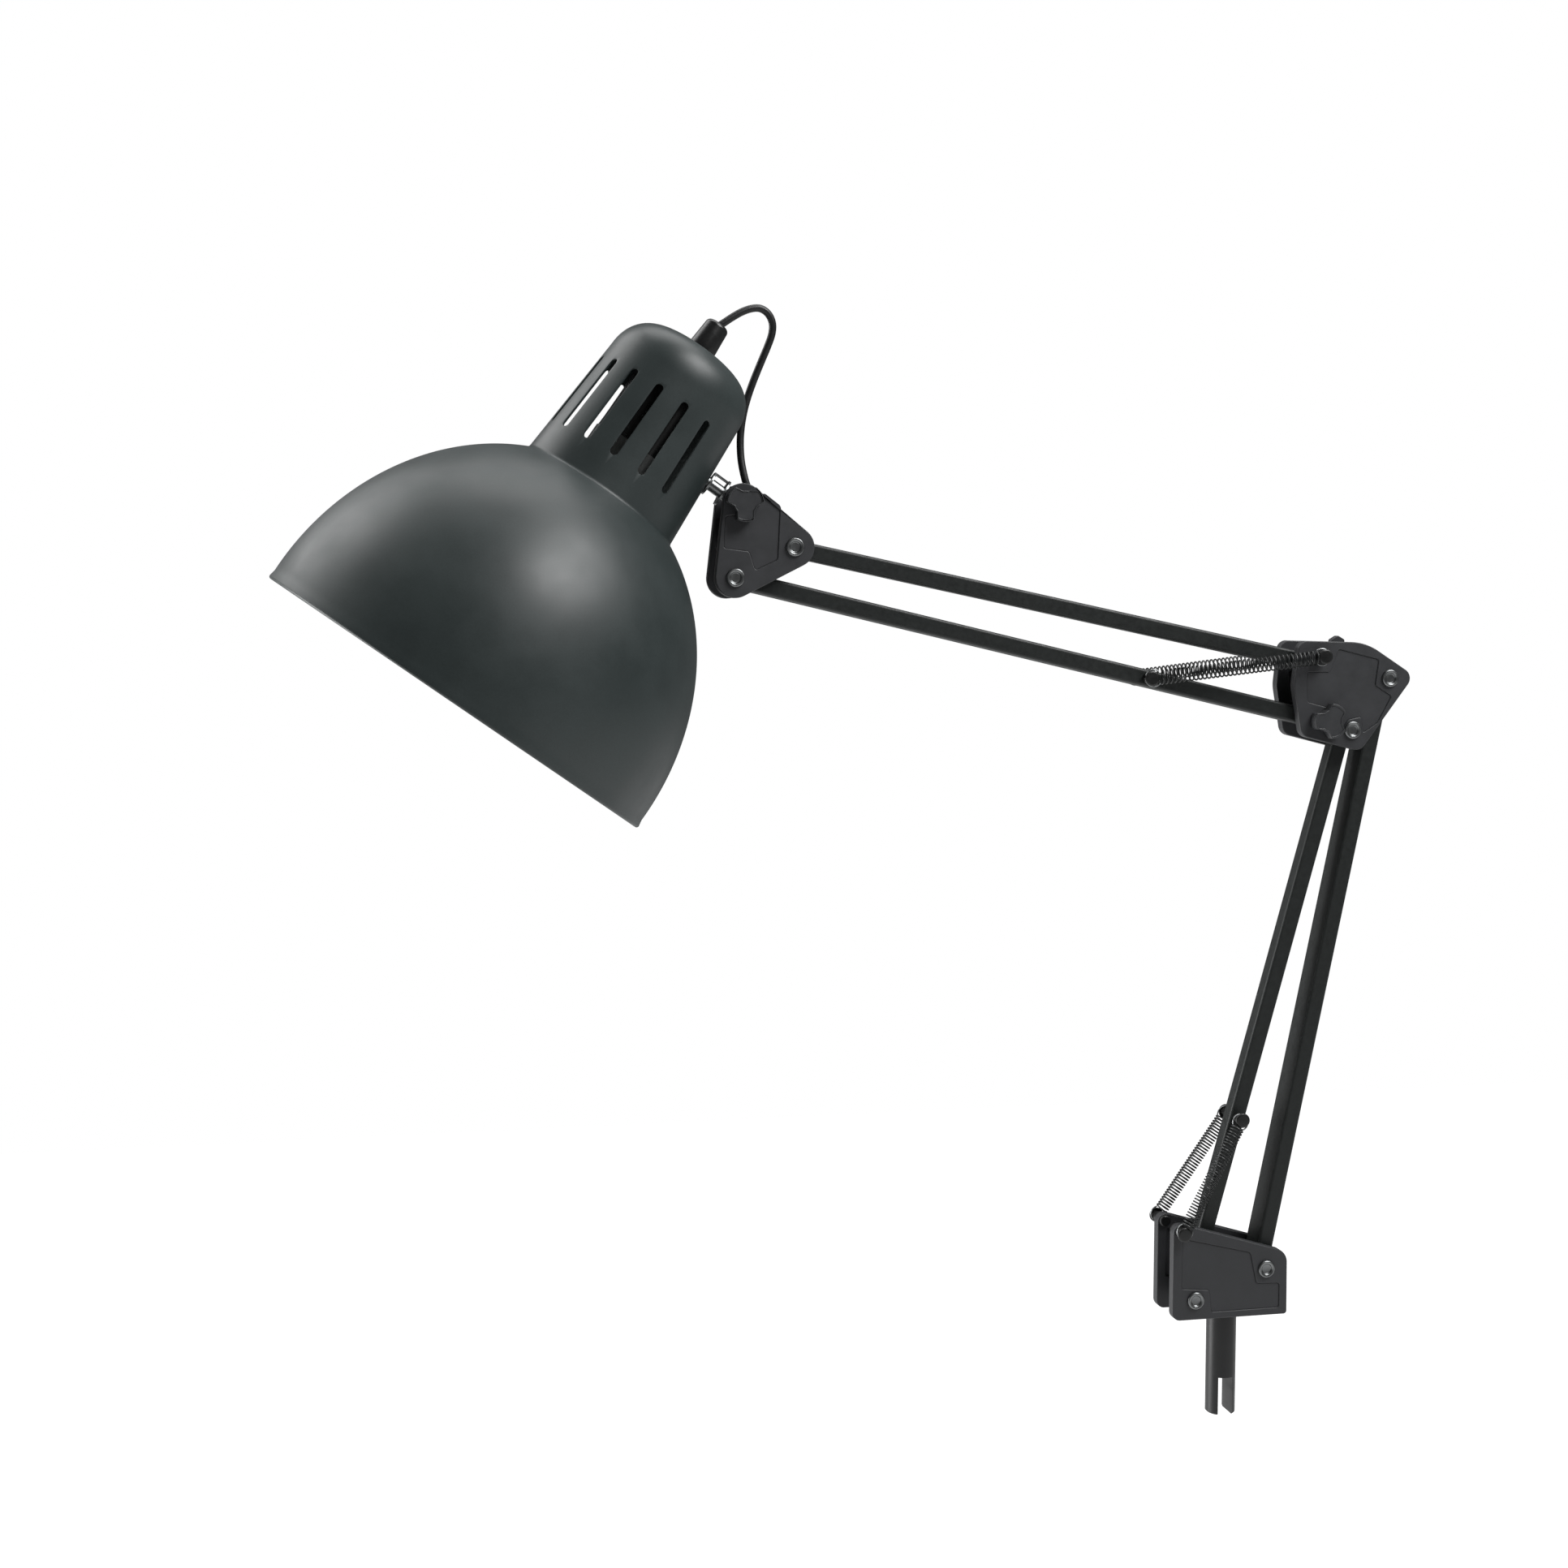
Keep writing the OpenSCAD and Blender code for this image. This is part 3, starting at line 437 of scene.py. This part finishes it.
def round_corners(points, r, parts=4):
    """A polygon with each corner rounded to about r."""
    result = []
    n = len(points)
    for i in range(n):
        a, b, c = Vector(points[i - 1]), Vector(points[i]), Vector(points[(i + 1) % n])
        u, v = (a - b), (c - b)
        reach = min(r, u.length * 0.4, v.length * 0.4)
        for k in range(parts + 1):
            t = k / parts
            q = b + u.normalized() * reach * (1 - t) ** 2 + v.normalized() * reach * t ** 2
            result.append((q.x, q.y))
    return result


def slab(loops, y0, y1, edge):
    """A flat piece bounded by loops in the arm's plane, from depth y0 to y1, with rounded edges."""
    curve = bpy.data.curves.new("working", "CURVE")
    curve.dimensions = "2D"
    curve.fill_mode = "BOTH"
    for loop in loops:
        spline = curve.splines.new("POLY")
        spline.points.add(len(loop) - 1)
        for point, (x, z) in zip(spline.points, loop):
            point.co = (x * MM, z * MM, 0, 1)
        spline.use_cyclic_u = True
    curve.extrude = ((y1 - y0) / 2 - edge) * MM
    curve.bevel_depth = edge * MM
    curve.bevel_resolution = 3
    curve.offset = -edge * MM
    thing = loose(curve)
    thing.matrix_world = Matrix.Translation(mm(0, (y0 + y1) / 2, 0)) @ Matrix.Rotation(radians(90), 4, "X")
    return made(thing)


def plate(name, outline, panel, side, body, extra=()):
    """A moulded plate: a rounded rim round a sunk panel outside and a shallow pocket inside."""
    y0, y1 = sorted((side * PLATE_IN, side * PLATE_OUT))
    sink, pocket = 0.4, 1.3
    rim_edge, panel_edge, panel_corner = 0.4, 0.2, 1.1
    p0, p1 = sorted((side * (PLATE_IN + pocket), side * (PLATE_OUT - sink)))
    hole = round_corners(panel, panel_corner)
    whole = joined([slab([outline, hole], y0, y1, rim_edge), slab([hole], p0, p1, panel_edge), *extra])
    piece(name + "_moulding", whole, [nylon], body, [name])


def at(points, p):
    """Points, or circles, given about p."""
    return [(q[0] + p[0], q[1] + p[1], *q[2:]) for q in points]


# Each outline is a line round circles (x, z, radius), and each panel a polygon (x, z) within it.
BASE_OUTLINE = round_outline([(-23.2, 3.6, 3.6), (23.6, 1.4, 1.4), (18.6, 22.4, 6.2), (-23.1, 37.6, 3.7)])
BASE_PANEL = [(-22.8, 13.6), (-10.2, 12.4), (-9.3, 2.9), (21.3, 3), (21.4, 13.6), (10.9, 14), (8, 27.6),
              (-22.6, 35.2)]
ELBOW_OUTLINE = round_outline(at([(2, -3.7, 4.7), (21.6, 21.6, 4.3), (-1.8, 12.6, 24.4), (-21, 33.6, 3.9),
                                  (-11.2, 19, 15.2), (-19, 1.4, 4.5)], ELBOW))
ELBOW_PANEL = at([(-5.6, -1.6), (-5.6, 8), (-20.6, 12), (-20.8, 24.4), (-10.4, 24.4), (-6.8, 34), (11.5, 29.6),
                  (10, 18.8), (17.6, 14.2), (11.4, 3), (5, -1.2), (4, 5.6), (-2, 4.4)], ELBOW)
HEAD_OUTLINE = round_outline([(*HEAD_FRONT, 8), (*HEAD_REAR, 8), (*TILT_PIVOT, 8)])
HEAD_PANEL = at([(-4.6, 11.6), (5.6, 10.4), (8, 3), (17, 7.2), (18, 28), (11.4, 33), (4, 25), (-4, 24)],
                HEAD_FRONT)

# A small lug stands on the elbow's rear plate, above its top edge.
lug_at = (ELBOW[0] + 3.4, ELBOW[1] + 36)
lug_outline = round_corners(arc(lug_at, 3.6, radians(30), radians(330), 5), 0.6)
lug = slab([lug_outline], PLATE_OUT - 0.4, PLATE_OUT + 2.8, 0.3)
for side, end in ((-1, "front"), (1, "rear")):
    plate(f"base_{end}_plate", BASE_OUTLINE, BASE_PANEL, side, "base")
    plate(f"elbow_{end}_plate", ELBOW_OUTLINE, ELBOW_PANEL, side, "elbow_bracket", [lug] if side > 0 else [])
    plate(f"head_{end}_plate", HEAD_OUTLINE, HEAD_PANEL, side, "head_bracket")


# ---- Rivets, by Geometry Nodes ----

def node_tree(name, inputs):
    """A geometry tree with named inputs: gives the tree, its input node and each name's identifier."""
    tree = bpy.data.node_groups.new(name, "GeometryNodeTree")
    keys = {}
    for label, kind, value in inputs:
        socket = tree.interface.new_socket(label, in_out="INPUT", socket_type="NodeSocket" + kind)
        if value is not None:
            socket.default_value = value
        keys[label] = socket.identifier
    tree.interface.new_socket("Geometry", in_out="OUTPUT", socket_type="NodeSocketGeometry")
    return tree, add(tree, "NodeGroupInput"), keys


def close_tree(tree, geometry, material):
    """Ends a tree in real geometry with its material."""
    real = add(tree, "GeometryNodeRealizeInstances", {"Geometry": geometry})
    painted = add(tree, "GeometryNodeSetMaterial", {"Geometry": real.outputs["Geometry"]},
                  {"Material": material})
    add(tree, "NodeGroupOutput", {"Geometry": painted.outputs["Geometry"]})


def grown(tree, keys, data=None, **values):
    """The mesh that a tree makes with these inputs."""
    thing = loose(data or bpy.data.meshes.new("working"))
    modifier = thing.modifiers.new("tree", "NODES")
    modifier.node_group = tree
    for label, value in values.items():
        modifier[keys[label.replace("_", " ")]] = value
    return made(thing)


# A tubular rivet's head, 7.5 mm across and dished where its end is rolled over, on a shank that reaches back
# from the plate's face to the middle of the lamp.
RIVET = [*rounded([(0, 0.25), (2.0, 0.25), (2.35, 0.95), (3.3, 1.2), (3.75, 0.7), (3.75, -0.3), (1.6, -0.3),
                   (1.6, -PLATE_OUT)], 0.3), (0, -PLATE_OUT)]
head_object = loose(turned(RIVET, Matrix.Identity(4), 40))

rivet_tree, rivet_in, rivet_keys = node_tree("rivet_heads", [
    ("Places", "Geometry", None), ("Head", "Object", None), ("Plate face", "Float", PLATE_OUT * MM)])
info = add(rivet_tree, "GeometryNodeObjectInfo", {"Object": rivet_in.outputs["Head"]})
rivet_sides = []
for side in (-1, 1):
    depth = add(rivet_tree, "ShaderNodeMath", {0: rivet_in.outputs["Plate face"]}, {1: float(side)},
                operation="MULTIPLY")
    push = add(rivet_tree, "ShaderNodeCombineXYZ", {"Y": depth.outputs[0]})
    spots = add(rivet_tree, "GeometryNodeSetPosition",
                {"Geometry": rivet_in.outputs["Places"], "Offset": push.outputs[0]})
    copies = add(rivet_tree, "GeometryNodeInstanceOnPoints",
                 {"Points": spots.outputs[0], "Instance": info.outputs["Geometry"]},
                 {"Rotation": (radians(-90 * side), 0, 0)})
    rivet_sides.append(copies.outputs[0])
rivet_both = add(rivet_tree, "GeometryNodeJoinGeometry")
for output in rivet_sides:
    rivet_tree.links.new(output, rivet_both.inputs[0])
close_tree(rivet_tree, rivet_both.outputs[0], zinc)


def rivets(name, places, body, replaced):
    """A rivet head on the front and rear plate at each place."""
    points = bpy.data.meshes.new("working")
    points.from_pydata([mm(x, 0, z) for x, z in places], [], [])
    mesh = grown(rivet_tree, rivet_keys, points, Head=head_object)
    piece(name, smooth(mesh), [zinc], body, replaced)


rivets("base_rivets", [LOWER_FRONT, LOWER_REAR], "base", ["base_front_rivet", "base_rear_rivet"])
rivets("elbow_rivets", [ELBOW, ELBOW_REAR], "elbow_bracket", ["elbow_front_rivet", "elbow_rear_rivet"])
rivets("head_rivets", [HEAD_FRONT, HEAD_REAR], "head_bracket", ["head_front_rivet", "head_rear_rivet"])
bpy.data.objects.remove(head_object)


# ---- Spring posts, pins and knobs ----

def post_profile(root, reach):
    """A grooved post from its root to its domed head, reach beyond the origin."""
    line = [(POST_R, root), (POST_R, reach - 2.5), (GROOVE_R, reach - 2.4), (GROOVE_R, reach - 1.15),
            (POST_HEAD_R, reach - 1.05), (POST_HEAD_R, reach - 0.25), (2.5, reach), (0, reach)]
    return [(0, root), *rounded(line, 0.25)]


def plate_posts(name, p, body):
    """A post through each plate of a bracket, with a small boss where it is pressed in from the back."""
    meshes = []
    for side in (-1, 1):
        meshes.append(turned(post_profile(0, POST_END - PLATE_IN), outwards(p, PLATE_IN, side)))
        boss = [(0, -1.6), *rounded([(2.0, -1.6), (2.4, -1.2), (2.4, 0.2)], 0.2), (0, 0.2)]
        meshes.append(turned(boss, outwards(p, PLATE_IN, side)))
    piece(name + "_turned", joined(meshes), [black_nylon], body, [name])


def tube_pin(name, p, half, body):
    """A pin right through a tube that is this half as thick, with a grooved end on both sides."""
    meshes = [turned(post_profile(0, half + PIN_REACH), outwards(p, 0, side)) for side in (-1, 1)]
    piece(name + "_turned", joined(meshes), [black_nylon], body, [name])


plate_posts("base_spring_posts", BASE_POST, "base")
plate_posts("elbow_spring_posts", ELBOW_POST, "elbow_bracket")
tube_pin("lower_spring_pin", LOWER_PIN, LOWER_TUBE_HALF, "lower_front_arm")
tube_pin("upper_spring_pin", UPPER_PIN, UPPER_TUBE_HALF, "upper_bottom_arm")


def knob(name, p, first, body):
    """A three-lobed knob with hollowed flanks, a raised rim and a plain face."""
    outline = []
    for lobe in range(3):
        a = radians(first + 120 * lobe)
        outline += arc(p, KNOB_R, a - radians(27), a + radians(27), 8)
        outline += arc(p, KNOB_WAIST_R, a + radians(46), a + radians(74), 4)
    outline = round_corners(outline, 0.6, 3)
    back = -(PLATE_OUT + KNOB_GAP)
    front = back - KNOB_H
    share = 0.86
    inner = [(p[0] + (x - p[0]) * share, p[1] + (z - p[1]) * share) for x, z in outline]
    meshes = [slab([outline, inner], front, back, 0.3), slab([inner], front + 0.25, back - 0.2, 0.05)]
    piece(name + "_moulding", joined(meshes), [acetal], body, [name])


knob("elbow_knob", KNOB_PIVOT, 60, "elbow_clamp_knob")
knob("head_knob", TILT_PIVOT, 30, "head_clamp_knob")


# ---- Springs, by Geometry Nodes ----

spring_tree, spring_in, spring_keys = node_tree("tension_spring", [
    ("Turns", "Float", float(TURNS)), ("Coil radius", "Float", 2.5 * MM), ("Length", "Float", 50 * MM),
    ("Wire radius", "Float", WIRE_R * MM)])
spiral = add(spring_tree, "GeometryNodeCurveSpiral", {
    "Rotations": spring_in.outputs["Turns"], "Start Radius": spring_in.outputs["Coil radius"],
    "End Radius": spring_in.outputs["Coil radius"], "Height": spring_in.outputs["Length"]}, {"Resolution": 28})
section = add(spring_tree, "GeometryNodeCurvePrimitiveCircle", {"Radius": spring_in.outputs["Wire radius"]},
              {"Resolution": 8})
wire = add(spring_tree, "GeometryNodeCurveToMesh",
           {"Curve": spiral.outputs[0], "Profile Curve": section.outputs[0]}, {"Fill Caps": True})
close_tree(spring_tree, wire.outputs[0], wire_steel)


def hook(centre, towards, coil_r):
    """A bright end hook: a loop wide enough to pass over the post's head, pulled into the groove behind it."""
    ahead = (towards - centre).normalized()
    side = Vector((0, 1, 0)).cross(ahead).normalized()
    r = POST_HEAD_R + WIRE_R
    middle = centre + ahead * (r - GROOVE_R - WIRE_R)
    loop = [centre + ahead * (LEAD + 0.3) + side * coil_r]
    half_open, parts = 48, 24
    for k in range(parts + 1):
        a = radians(half_open + (360 - 2 * half_open) * k / parts)
        loop.append(middle + ahead * r * cos(a) + side * r * sin(a))
    return tube_along(smooth_route(loop, parts=2), WIRE_R, 8)


def spring(name, start, end, coil_d):
    """A close coil of dark wire between two grooves, with a bright hook at each end."""
    a, b = Vector(start), Vector(end)
    ahead = (b - a).normalized()
    length = (b - a).length
    coil_r = coil_d / 2 - WIRE_R
    mesh = grown(spring_tree, spring_keys, Turns=float(TURNS), Coil_radius=coil_r * MM,
                 Length=(length - 2 * LEAD) * MM, Wire_radius=WIRE_R * MM)
    turn = Vector((0, 0, 1)).rotation_difference(ahead).to_matrix().to_4x4()
    mesh.transform(Matrix.Translation((a + ahead * LEAD) * MM) @ turn)
    split = len(mesh.polygons)
    whole = joined([mesh, hook(a, b, coil_r), hook(b, a, coil_r)])
    thing = piece(name + "_wire", whole, [wire_steel, zinc], None, [name])
    for k, face in enumerate(thing.data.polygons):
        face.material_index = 0 if k < split else 1
    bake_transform(thing)


for side, end in ((-1, "front"), (1, "rear")):
    on_post = side * (POST_END - GROOVE_IN)
    on_lower = side * (LOWER_TUBE_HALF + PIN_REACH - GROOVE_IN)
    on_upper = side * (UPPER_TUBE_HALF + PIN_REACH - GROOVE_IN)
    spring(f"lower_spring_{end}", (BASE_POST[0], on_post, BASE_POST[1]),
           (LOWER_PIN[0], on_lower, LOWER_PIN[1]), LOWER_COIL_D)
    spring(f"upper_spring_{end}", (ELBOW_POST[0], on_post, ELBOW_POST[1]),
           (UPPER_PIN[0], on_upper, UPPER_PIN[1]), UPPER_COIL_D)


# ---- Shade ----

def shade_line(inset):
    """Half the shade's section from rim to nipple hole, as (radius, height), inset from the outer face."""
    bell_parts, neck_parts, cap_parts = 48, 9, 20
    a0, a1 = -asin(RIM_DROP / BELL_B), acos((NECK_R - inset) / (BELL_A - inset))
    line = []
    for i in range(bell_parts + 1):
        t = a0 + (a1 - a0) * i / bell_parts
        line.append(((BELL_A - inset) * cos(t), RIM_DROP + (BELL_B - inset) * sin(t)))
    # The press leaves a small round where the bell meets the neck.
    crease = line.pop()
    crease_round = 1.2
    start, after = Vector(line[-1]), Vector((NECK_R - inset - 0.08, crease[1] + crease_round))
    start = Vector(crease) + (start - Vector(crease)).normalized() * crease_round
    for k in range(6):
        t = k / 5
        q = start * (1 - t) ** 2 + Vector(crease) * 2 * t * (1 - t) + after * t * t
        line.append((q.x, q.y))
    for i in range(1, neck_parts):
        h = crease[1] + crease_round + (CAP_H0 - crease[1] - crease_round) * i / neck_parts
        line.append((NECK_R - inset + (NECK_TOP - NECK_R) * (h - NECK_H0) / NECK_LEN, h))
    for i in range(cap_parts + 1):
        t = radians(88 * i / cap_parts)
        line.append(((NECK_TOP - inset) * cos(t) ** CAP_POWER, CAP_H0 + (CAP_H - inset) * sin(t)))
    line = [q for q in line if q[0] > NIPPLE_HOLE_R]
    return line + [(NIPPLE_HOLE_R, CAP_TOP - inset)]


def rim_bead():
    """The rolled bead at the rim, drawn from the inner face round to the outer one."""
    return arc((BELL_A * cos(asin(RIM_DROP / BELL_B)) - BEAD_R / 2, 0), BEAD_R, radians(180), radians(360), 10)


def shade_mesh():
    """The whole pressing without its slots, painted outside and enamelled inside the bell."""
    outside = shade_line(0)
    inside = shade_line(WALL)
    bead = rim_bead()
    section = bead + outside[1:] + list(reversed(inside[1:]))
    steps = 160
    work = bmesh.new()
    rings = [ring(work, r, h, steps) for r, h in section]
    inner_from = len(bead) + len(outside) - 1
    for i in range(len(rings)):
        low, high = rings[i], rings[(i + 1) % len(rings)]
        for k in range(steps):
            face = work.faces.new((low[k], low[(k + 1) % steps], high[(k + 1) % steps], high[k]))
            face.material_index = 1 if i >= inner_from and section[i][1] < NECK_H0 else 0
    bmesh.ops.recalc_face_normals(work, faces=work.faces)
    mesh = bpy.data.meshes.new("working")
    work.to_mesh(mesh)
    work.free()
    mesh.materials.append(shade_coat)
    mesh.materials.append(enamel)
    return mesh


# One vent cutter is a slot-shaped bar; the tree sets them round the neck and cuts them out. The turn lines up
# the slots on the near and far sides, so that daylight shows through the neck.
slot_tree, slot_in, slot_keys = node_tree("vent_slots", [
    ("Shell", "Geometry", None), ("Slot length", "Float", SLOT_LEN * MM), ("Slot width", "Float", SLOT_W * MM),
    ("Places round neck", "Int", 16), ("Missing places", "Int", 4), ("Height", "Float", SLOT_H * MM),
    ("Neck radius", "Float", 32 * MM), ("Turn", "Float", radians(-1.9))])
outline = add(slot_tree, "GeometryNodeCurvePrimitiveQuadrilateral",
              {"Width": slot_in.outputs["Slot length"], "Height": slot_in.outputs["Slot width"]})
# Just under half, because the two end rounds may not quite meet.
half_width = add(slot_tree, "ShaderNodeMath", {0: slot_in.outputs["Slot width"]}, {1: 0.499},
                 operation="MULTIPLY")
ends = add(slot_tree, "GeometryNodeFilletCurve",
           {"Curve": outline.outputs[0], "Radius": half_width.outputs[0]}, {"Count": 8}, mode="POLY")
face = add(slot_tree, "GeometryNodeFillCurve", {"Curve": ends.outputs[0]})
bar = add(slot_tree, "GeometryNodeExtrudeMesh", {"Mesh": face.outputs[0]},
          {"Offset Scale": CUTTER_LEN * MM, "Individual": False})
bottom = add(slot_tree, "GeometryNodeFlipFaces", {"Mesh": face.outputs[0]})
solid = add(slot_tree, "GeometryNodeJoinGeometry")
slot_tree.links.new(bar.outputs[0], solid.inputs[0])
slot_tree.links.new(bottom.outputs[0], solid.inputs[0])
closed = add(slot_tree, "GeometryNodeMergeByDistance", {"Geometry": solid.outputs[0]}, {"Distance": 1e-6})
count = add(slot_tree, "ShaderNodeMath",
            {0: slot_in.outputs["Places round neck"], 1: slot_in.outputs["Missing places"]},
            operation="SUBTRACT")
spots = add(slot_tree, "GeometryNodeMeshLine", {"Count": count.outputs[0]}, {"Offset": (0, 0, 0)})
step = add(slot_tree, "ShaderNodeMath", {1: slot_in.outputs["Places round neck"]}, {0: 2 * pi},
           operation="DIVIDE")
gap_half = add(slot_tree, "ShaderNodeMath", {0: slot_in.outputs["Missing places"]}, {1: 0.5},
               operation="MULTIPLY")
index = add(slot_tree, "GeometryNodeInputIndex")
nth = add(slot_tree, "ShaderNodeMath", {0: index.outputs[0], 1: gap_half.outputs[0]}, operation="ADD")
centred = add(slot_tree, "ShaderNodeMath", {0: nth.outputs[0]}, {1: 0.5}, operation="ADD")
angle = add(slot_tree, "ShaderNodeMath",
            {0: centred.outputs[0], 1: step.outputs[0], 2: slot_in.outputs["Turn"]}, operation="MULTIPLY_ADD")
turn = add(slot_tree, "ShaderNodeCombineXYZ", {"Z": angle.outputs[0]})
stand = add(slot_tree, "GeometryNodeTransform", {"Geometry": closed.outputs[0]},
            {"Rotation": (0, radians(90), 0)})
reach = add(slot_tree, "ShaderNodeMath", {0: slot_in.outputs["Neck radius"]}, {1: -CUTTER_LEN / 2 * MM}, operation="ADD")
lift = add(slot_tree, "ShaderNodeCombineXYZ", {"X": reach.outputs[0], "Z": slot_in.outputs["Height"]})
ready = add(slot_tree, "GeometryNodeTransform", {"Geometry": stand.outputs[0], "Translation": lift.outputs[0]})
cutters = add(slot_tree, "GeometryNodeInstanceOnPoints",
              {"Points": spots.outputs[0], "Instance": ready.outputs[0], "Rotation": turn.outputs[0]})
real_cutters = add(slot_tree, "GeometryNodeRealizeInstances", {"Geometry": cutters.outputs[0]})
cut = add(slot_tree, "GeometryNodeMeshBoolean", {"Mesh 1": slot_in.outputs["Shell"]},
          operation="DIFFERENCE", solver="EXACT")
slot_tree.links.new(real_cutters.outputs[0], cut.inputs["Mesh 2"])
add(slot_tree, "NodeGroupOutput", {"Geometry": cut.outputs[0]})

shell = loose(grown(slot_tree, slot_keys, shade_mesh()))
edge = shell.modifiers.new("punched_edges", "BEVEL")
edge.limit_method = "ANGLE"
edge.angle_limit = radians(65)
edge.width = 0.22 * MM
edge.segments = 2
shell = made(shell)
shell.transform(SHADE)
smooth(shell, 28)
piece("shade_pressing", shell, [shade_coat, enamel], "shade", ["shade_shell"])

# The cord grip: a tapered moulding 11.4 mm across at its foot and 13 mm tall, with a blind hole for the cord.
GRIP = [(0, 0.2), *rounded([(4.5, 0.2), (5.7, 0.2), (5.65, 2.5), (4.9, 12.2), (3.9, 13.2), (2.4, 13.2),
                            (2.4, 10)], 0.6), (0, 10)]
piece("cord_grip_moulding", turned(GRIP, SHADE @ Matrix.Translation(mm(0, 0, CAP_TOP + 0.2))), [black_nylon],
      "shade", ["cord_grip"])


# ---- Surroundings ----

def surroundings():
    """A white studio: the eye sees white all round, and the lamp is lit mostly by the panels below."""
    world = bpy.data.worlds.new("studio")
    bpy.context.scene.world = world
    world.use_nodes = True
    tree = world.node_tree
    dim = tree.nodes["Background"]
    dim.inputs["Color"].default_value = (1, 1, 1, 1)
    dim.inputs["Strength"].default_value = 0.1
    bright = add(tree, "ShaderNodeBackground", None, {"Color": (1, 1, 1, 1), "Strength": 1.0})
    seen = add(tree, "ShaderNodeLightPath").outputs["Is Camera Ray"]
    sky = add(tree, "ShaderNodeMixShader", {"Fac": seen, 1: dim.outputs[0], 2: bright.outputs[0]})
    tree.links.new(sky.outputs[0], tree.nodes["World Output"].inputs["Surface"])
    # A floor half a metre down throws soft light up under the lamp.
    floor_mesh = bpy.data.meshes.new("floor")
    half, drop = 2.5, -0.5
    corners = [(-half, -half, drop), (half, -half, drop), (half, half, drop), (-half, half, drop)]
    floor_mesh.from_pydata(corners, [], [(0, 1, 2, 3)])
    floor = bpy.data.objects.new("floor", floor_mesh)
    bpy.context.collection.objects.link(floor)
    pale = bpy.data.materials.new("pale_floor")
    pale.use_nodes = True
    shader = pale.node_tree.nodes["Principled BSDF"]
    shader.inputs["Base Color"].default_value = linear("#b4b4b4")
    shader.inputs["Roughness"].default_value = 0.9
    shader.inputs["Emission Color"].default_value = linear("#ffffff")
    seen = add(pale.node_tree, "ShaderNodeLightPath").outputs["Is Camera Ray"]
    glow = add(pale.node_tree, "ShaderNodeMapRange", {"Value": seen}, {"To Min": 0.45, "To Max": 0.95})
    pale.node_tree.links.new(glow.outputs["Result"], shader.inputs["Emission Strength"])
    floor_mesh.materials.append(pale)
    bpy.context.scene.view_settings.view_transform = "Standard"


def area_light(name, place, aim, size, power):
    """A rectangular light panel at a place, facing an aim, both in metres."""
    data = bpy.data.lights.new(name, "AREA")
    data.shape = "RECTANGLE"
    data.size, data.size_y = size
    data.energy = power
    lamp = bpy.data.objects.new(name, data)
    lamp.location = place
    lamp.rotation_euler = (Vector(aim) - Vector(place)).to_track_quat("-Z", "Y").to_euler()
    bpy.context.collection.objects.link(lamp)


surroundings()
area_light("key", (0.64, -0.72, 1.42), (-0.3, 0, 0.3), (1.0, 0.8), 27)
area_light("back_left_panel", (-1.3, 0.85, 1.5), (-0.3, 0, 0.3), (1.3, 1.3), 17)
area_light("left_panel", (-1.6, 0.5, 0.0), (-0.1, 0, 0.1), (0.9, 1.2), 22)
area_light("top_panel", (0.0, 0.35, 1.7), (-0.1, 0, 0.25), (1.2, 0.9), 10)
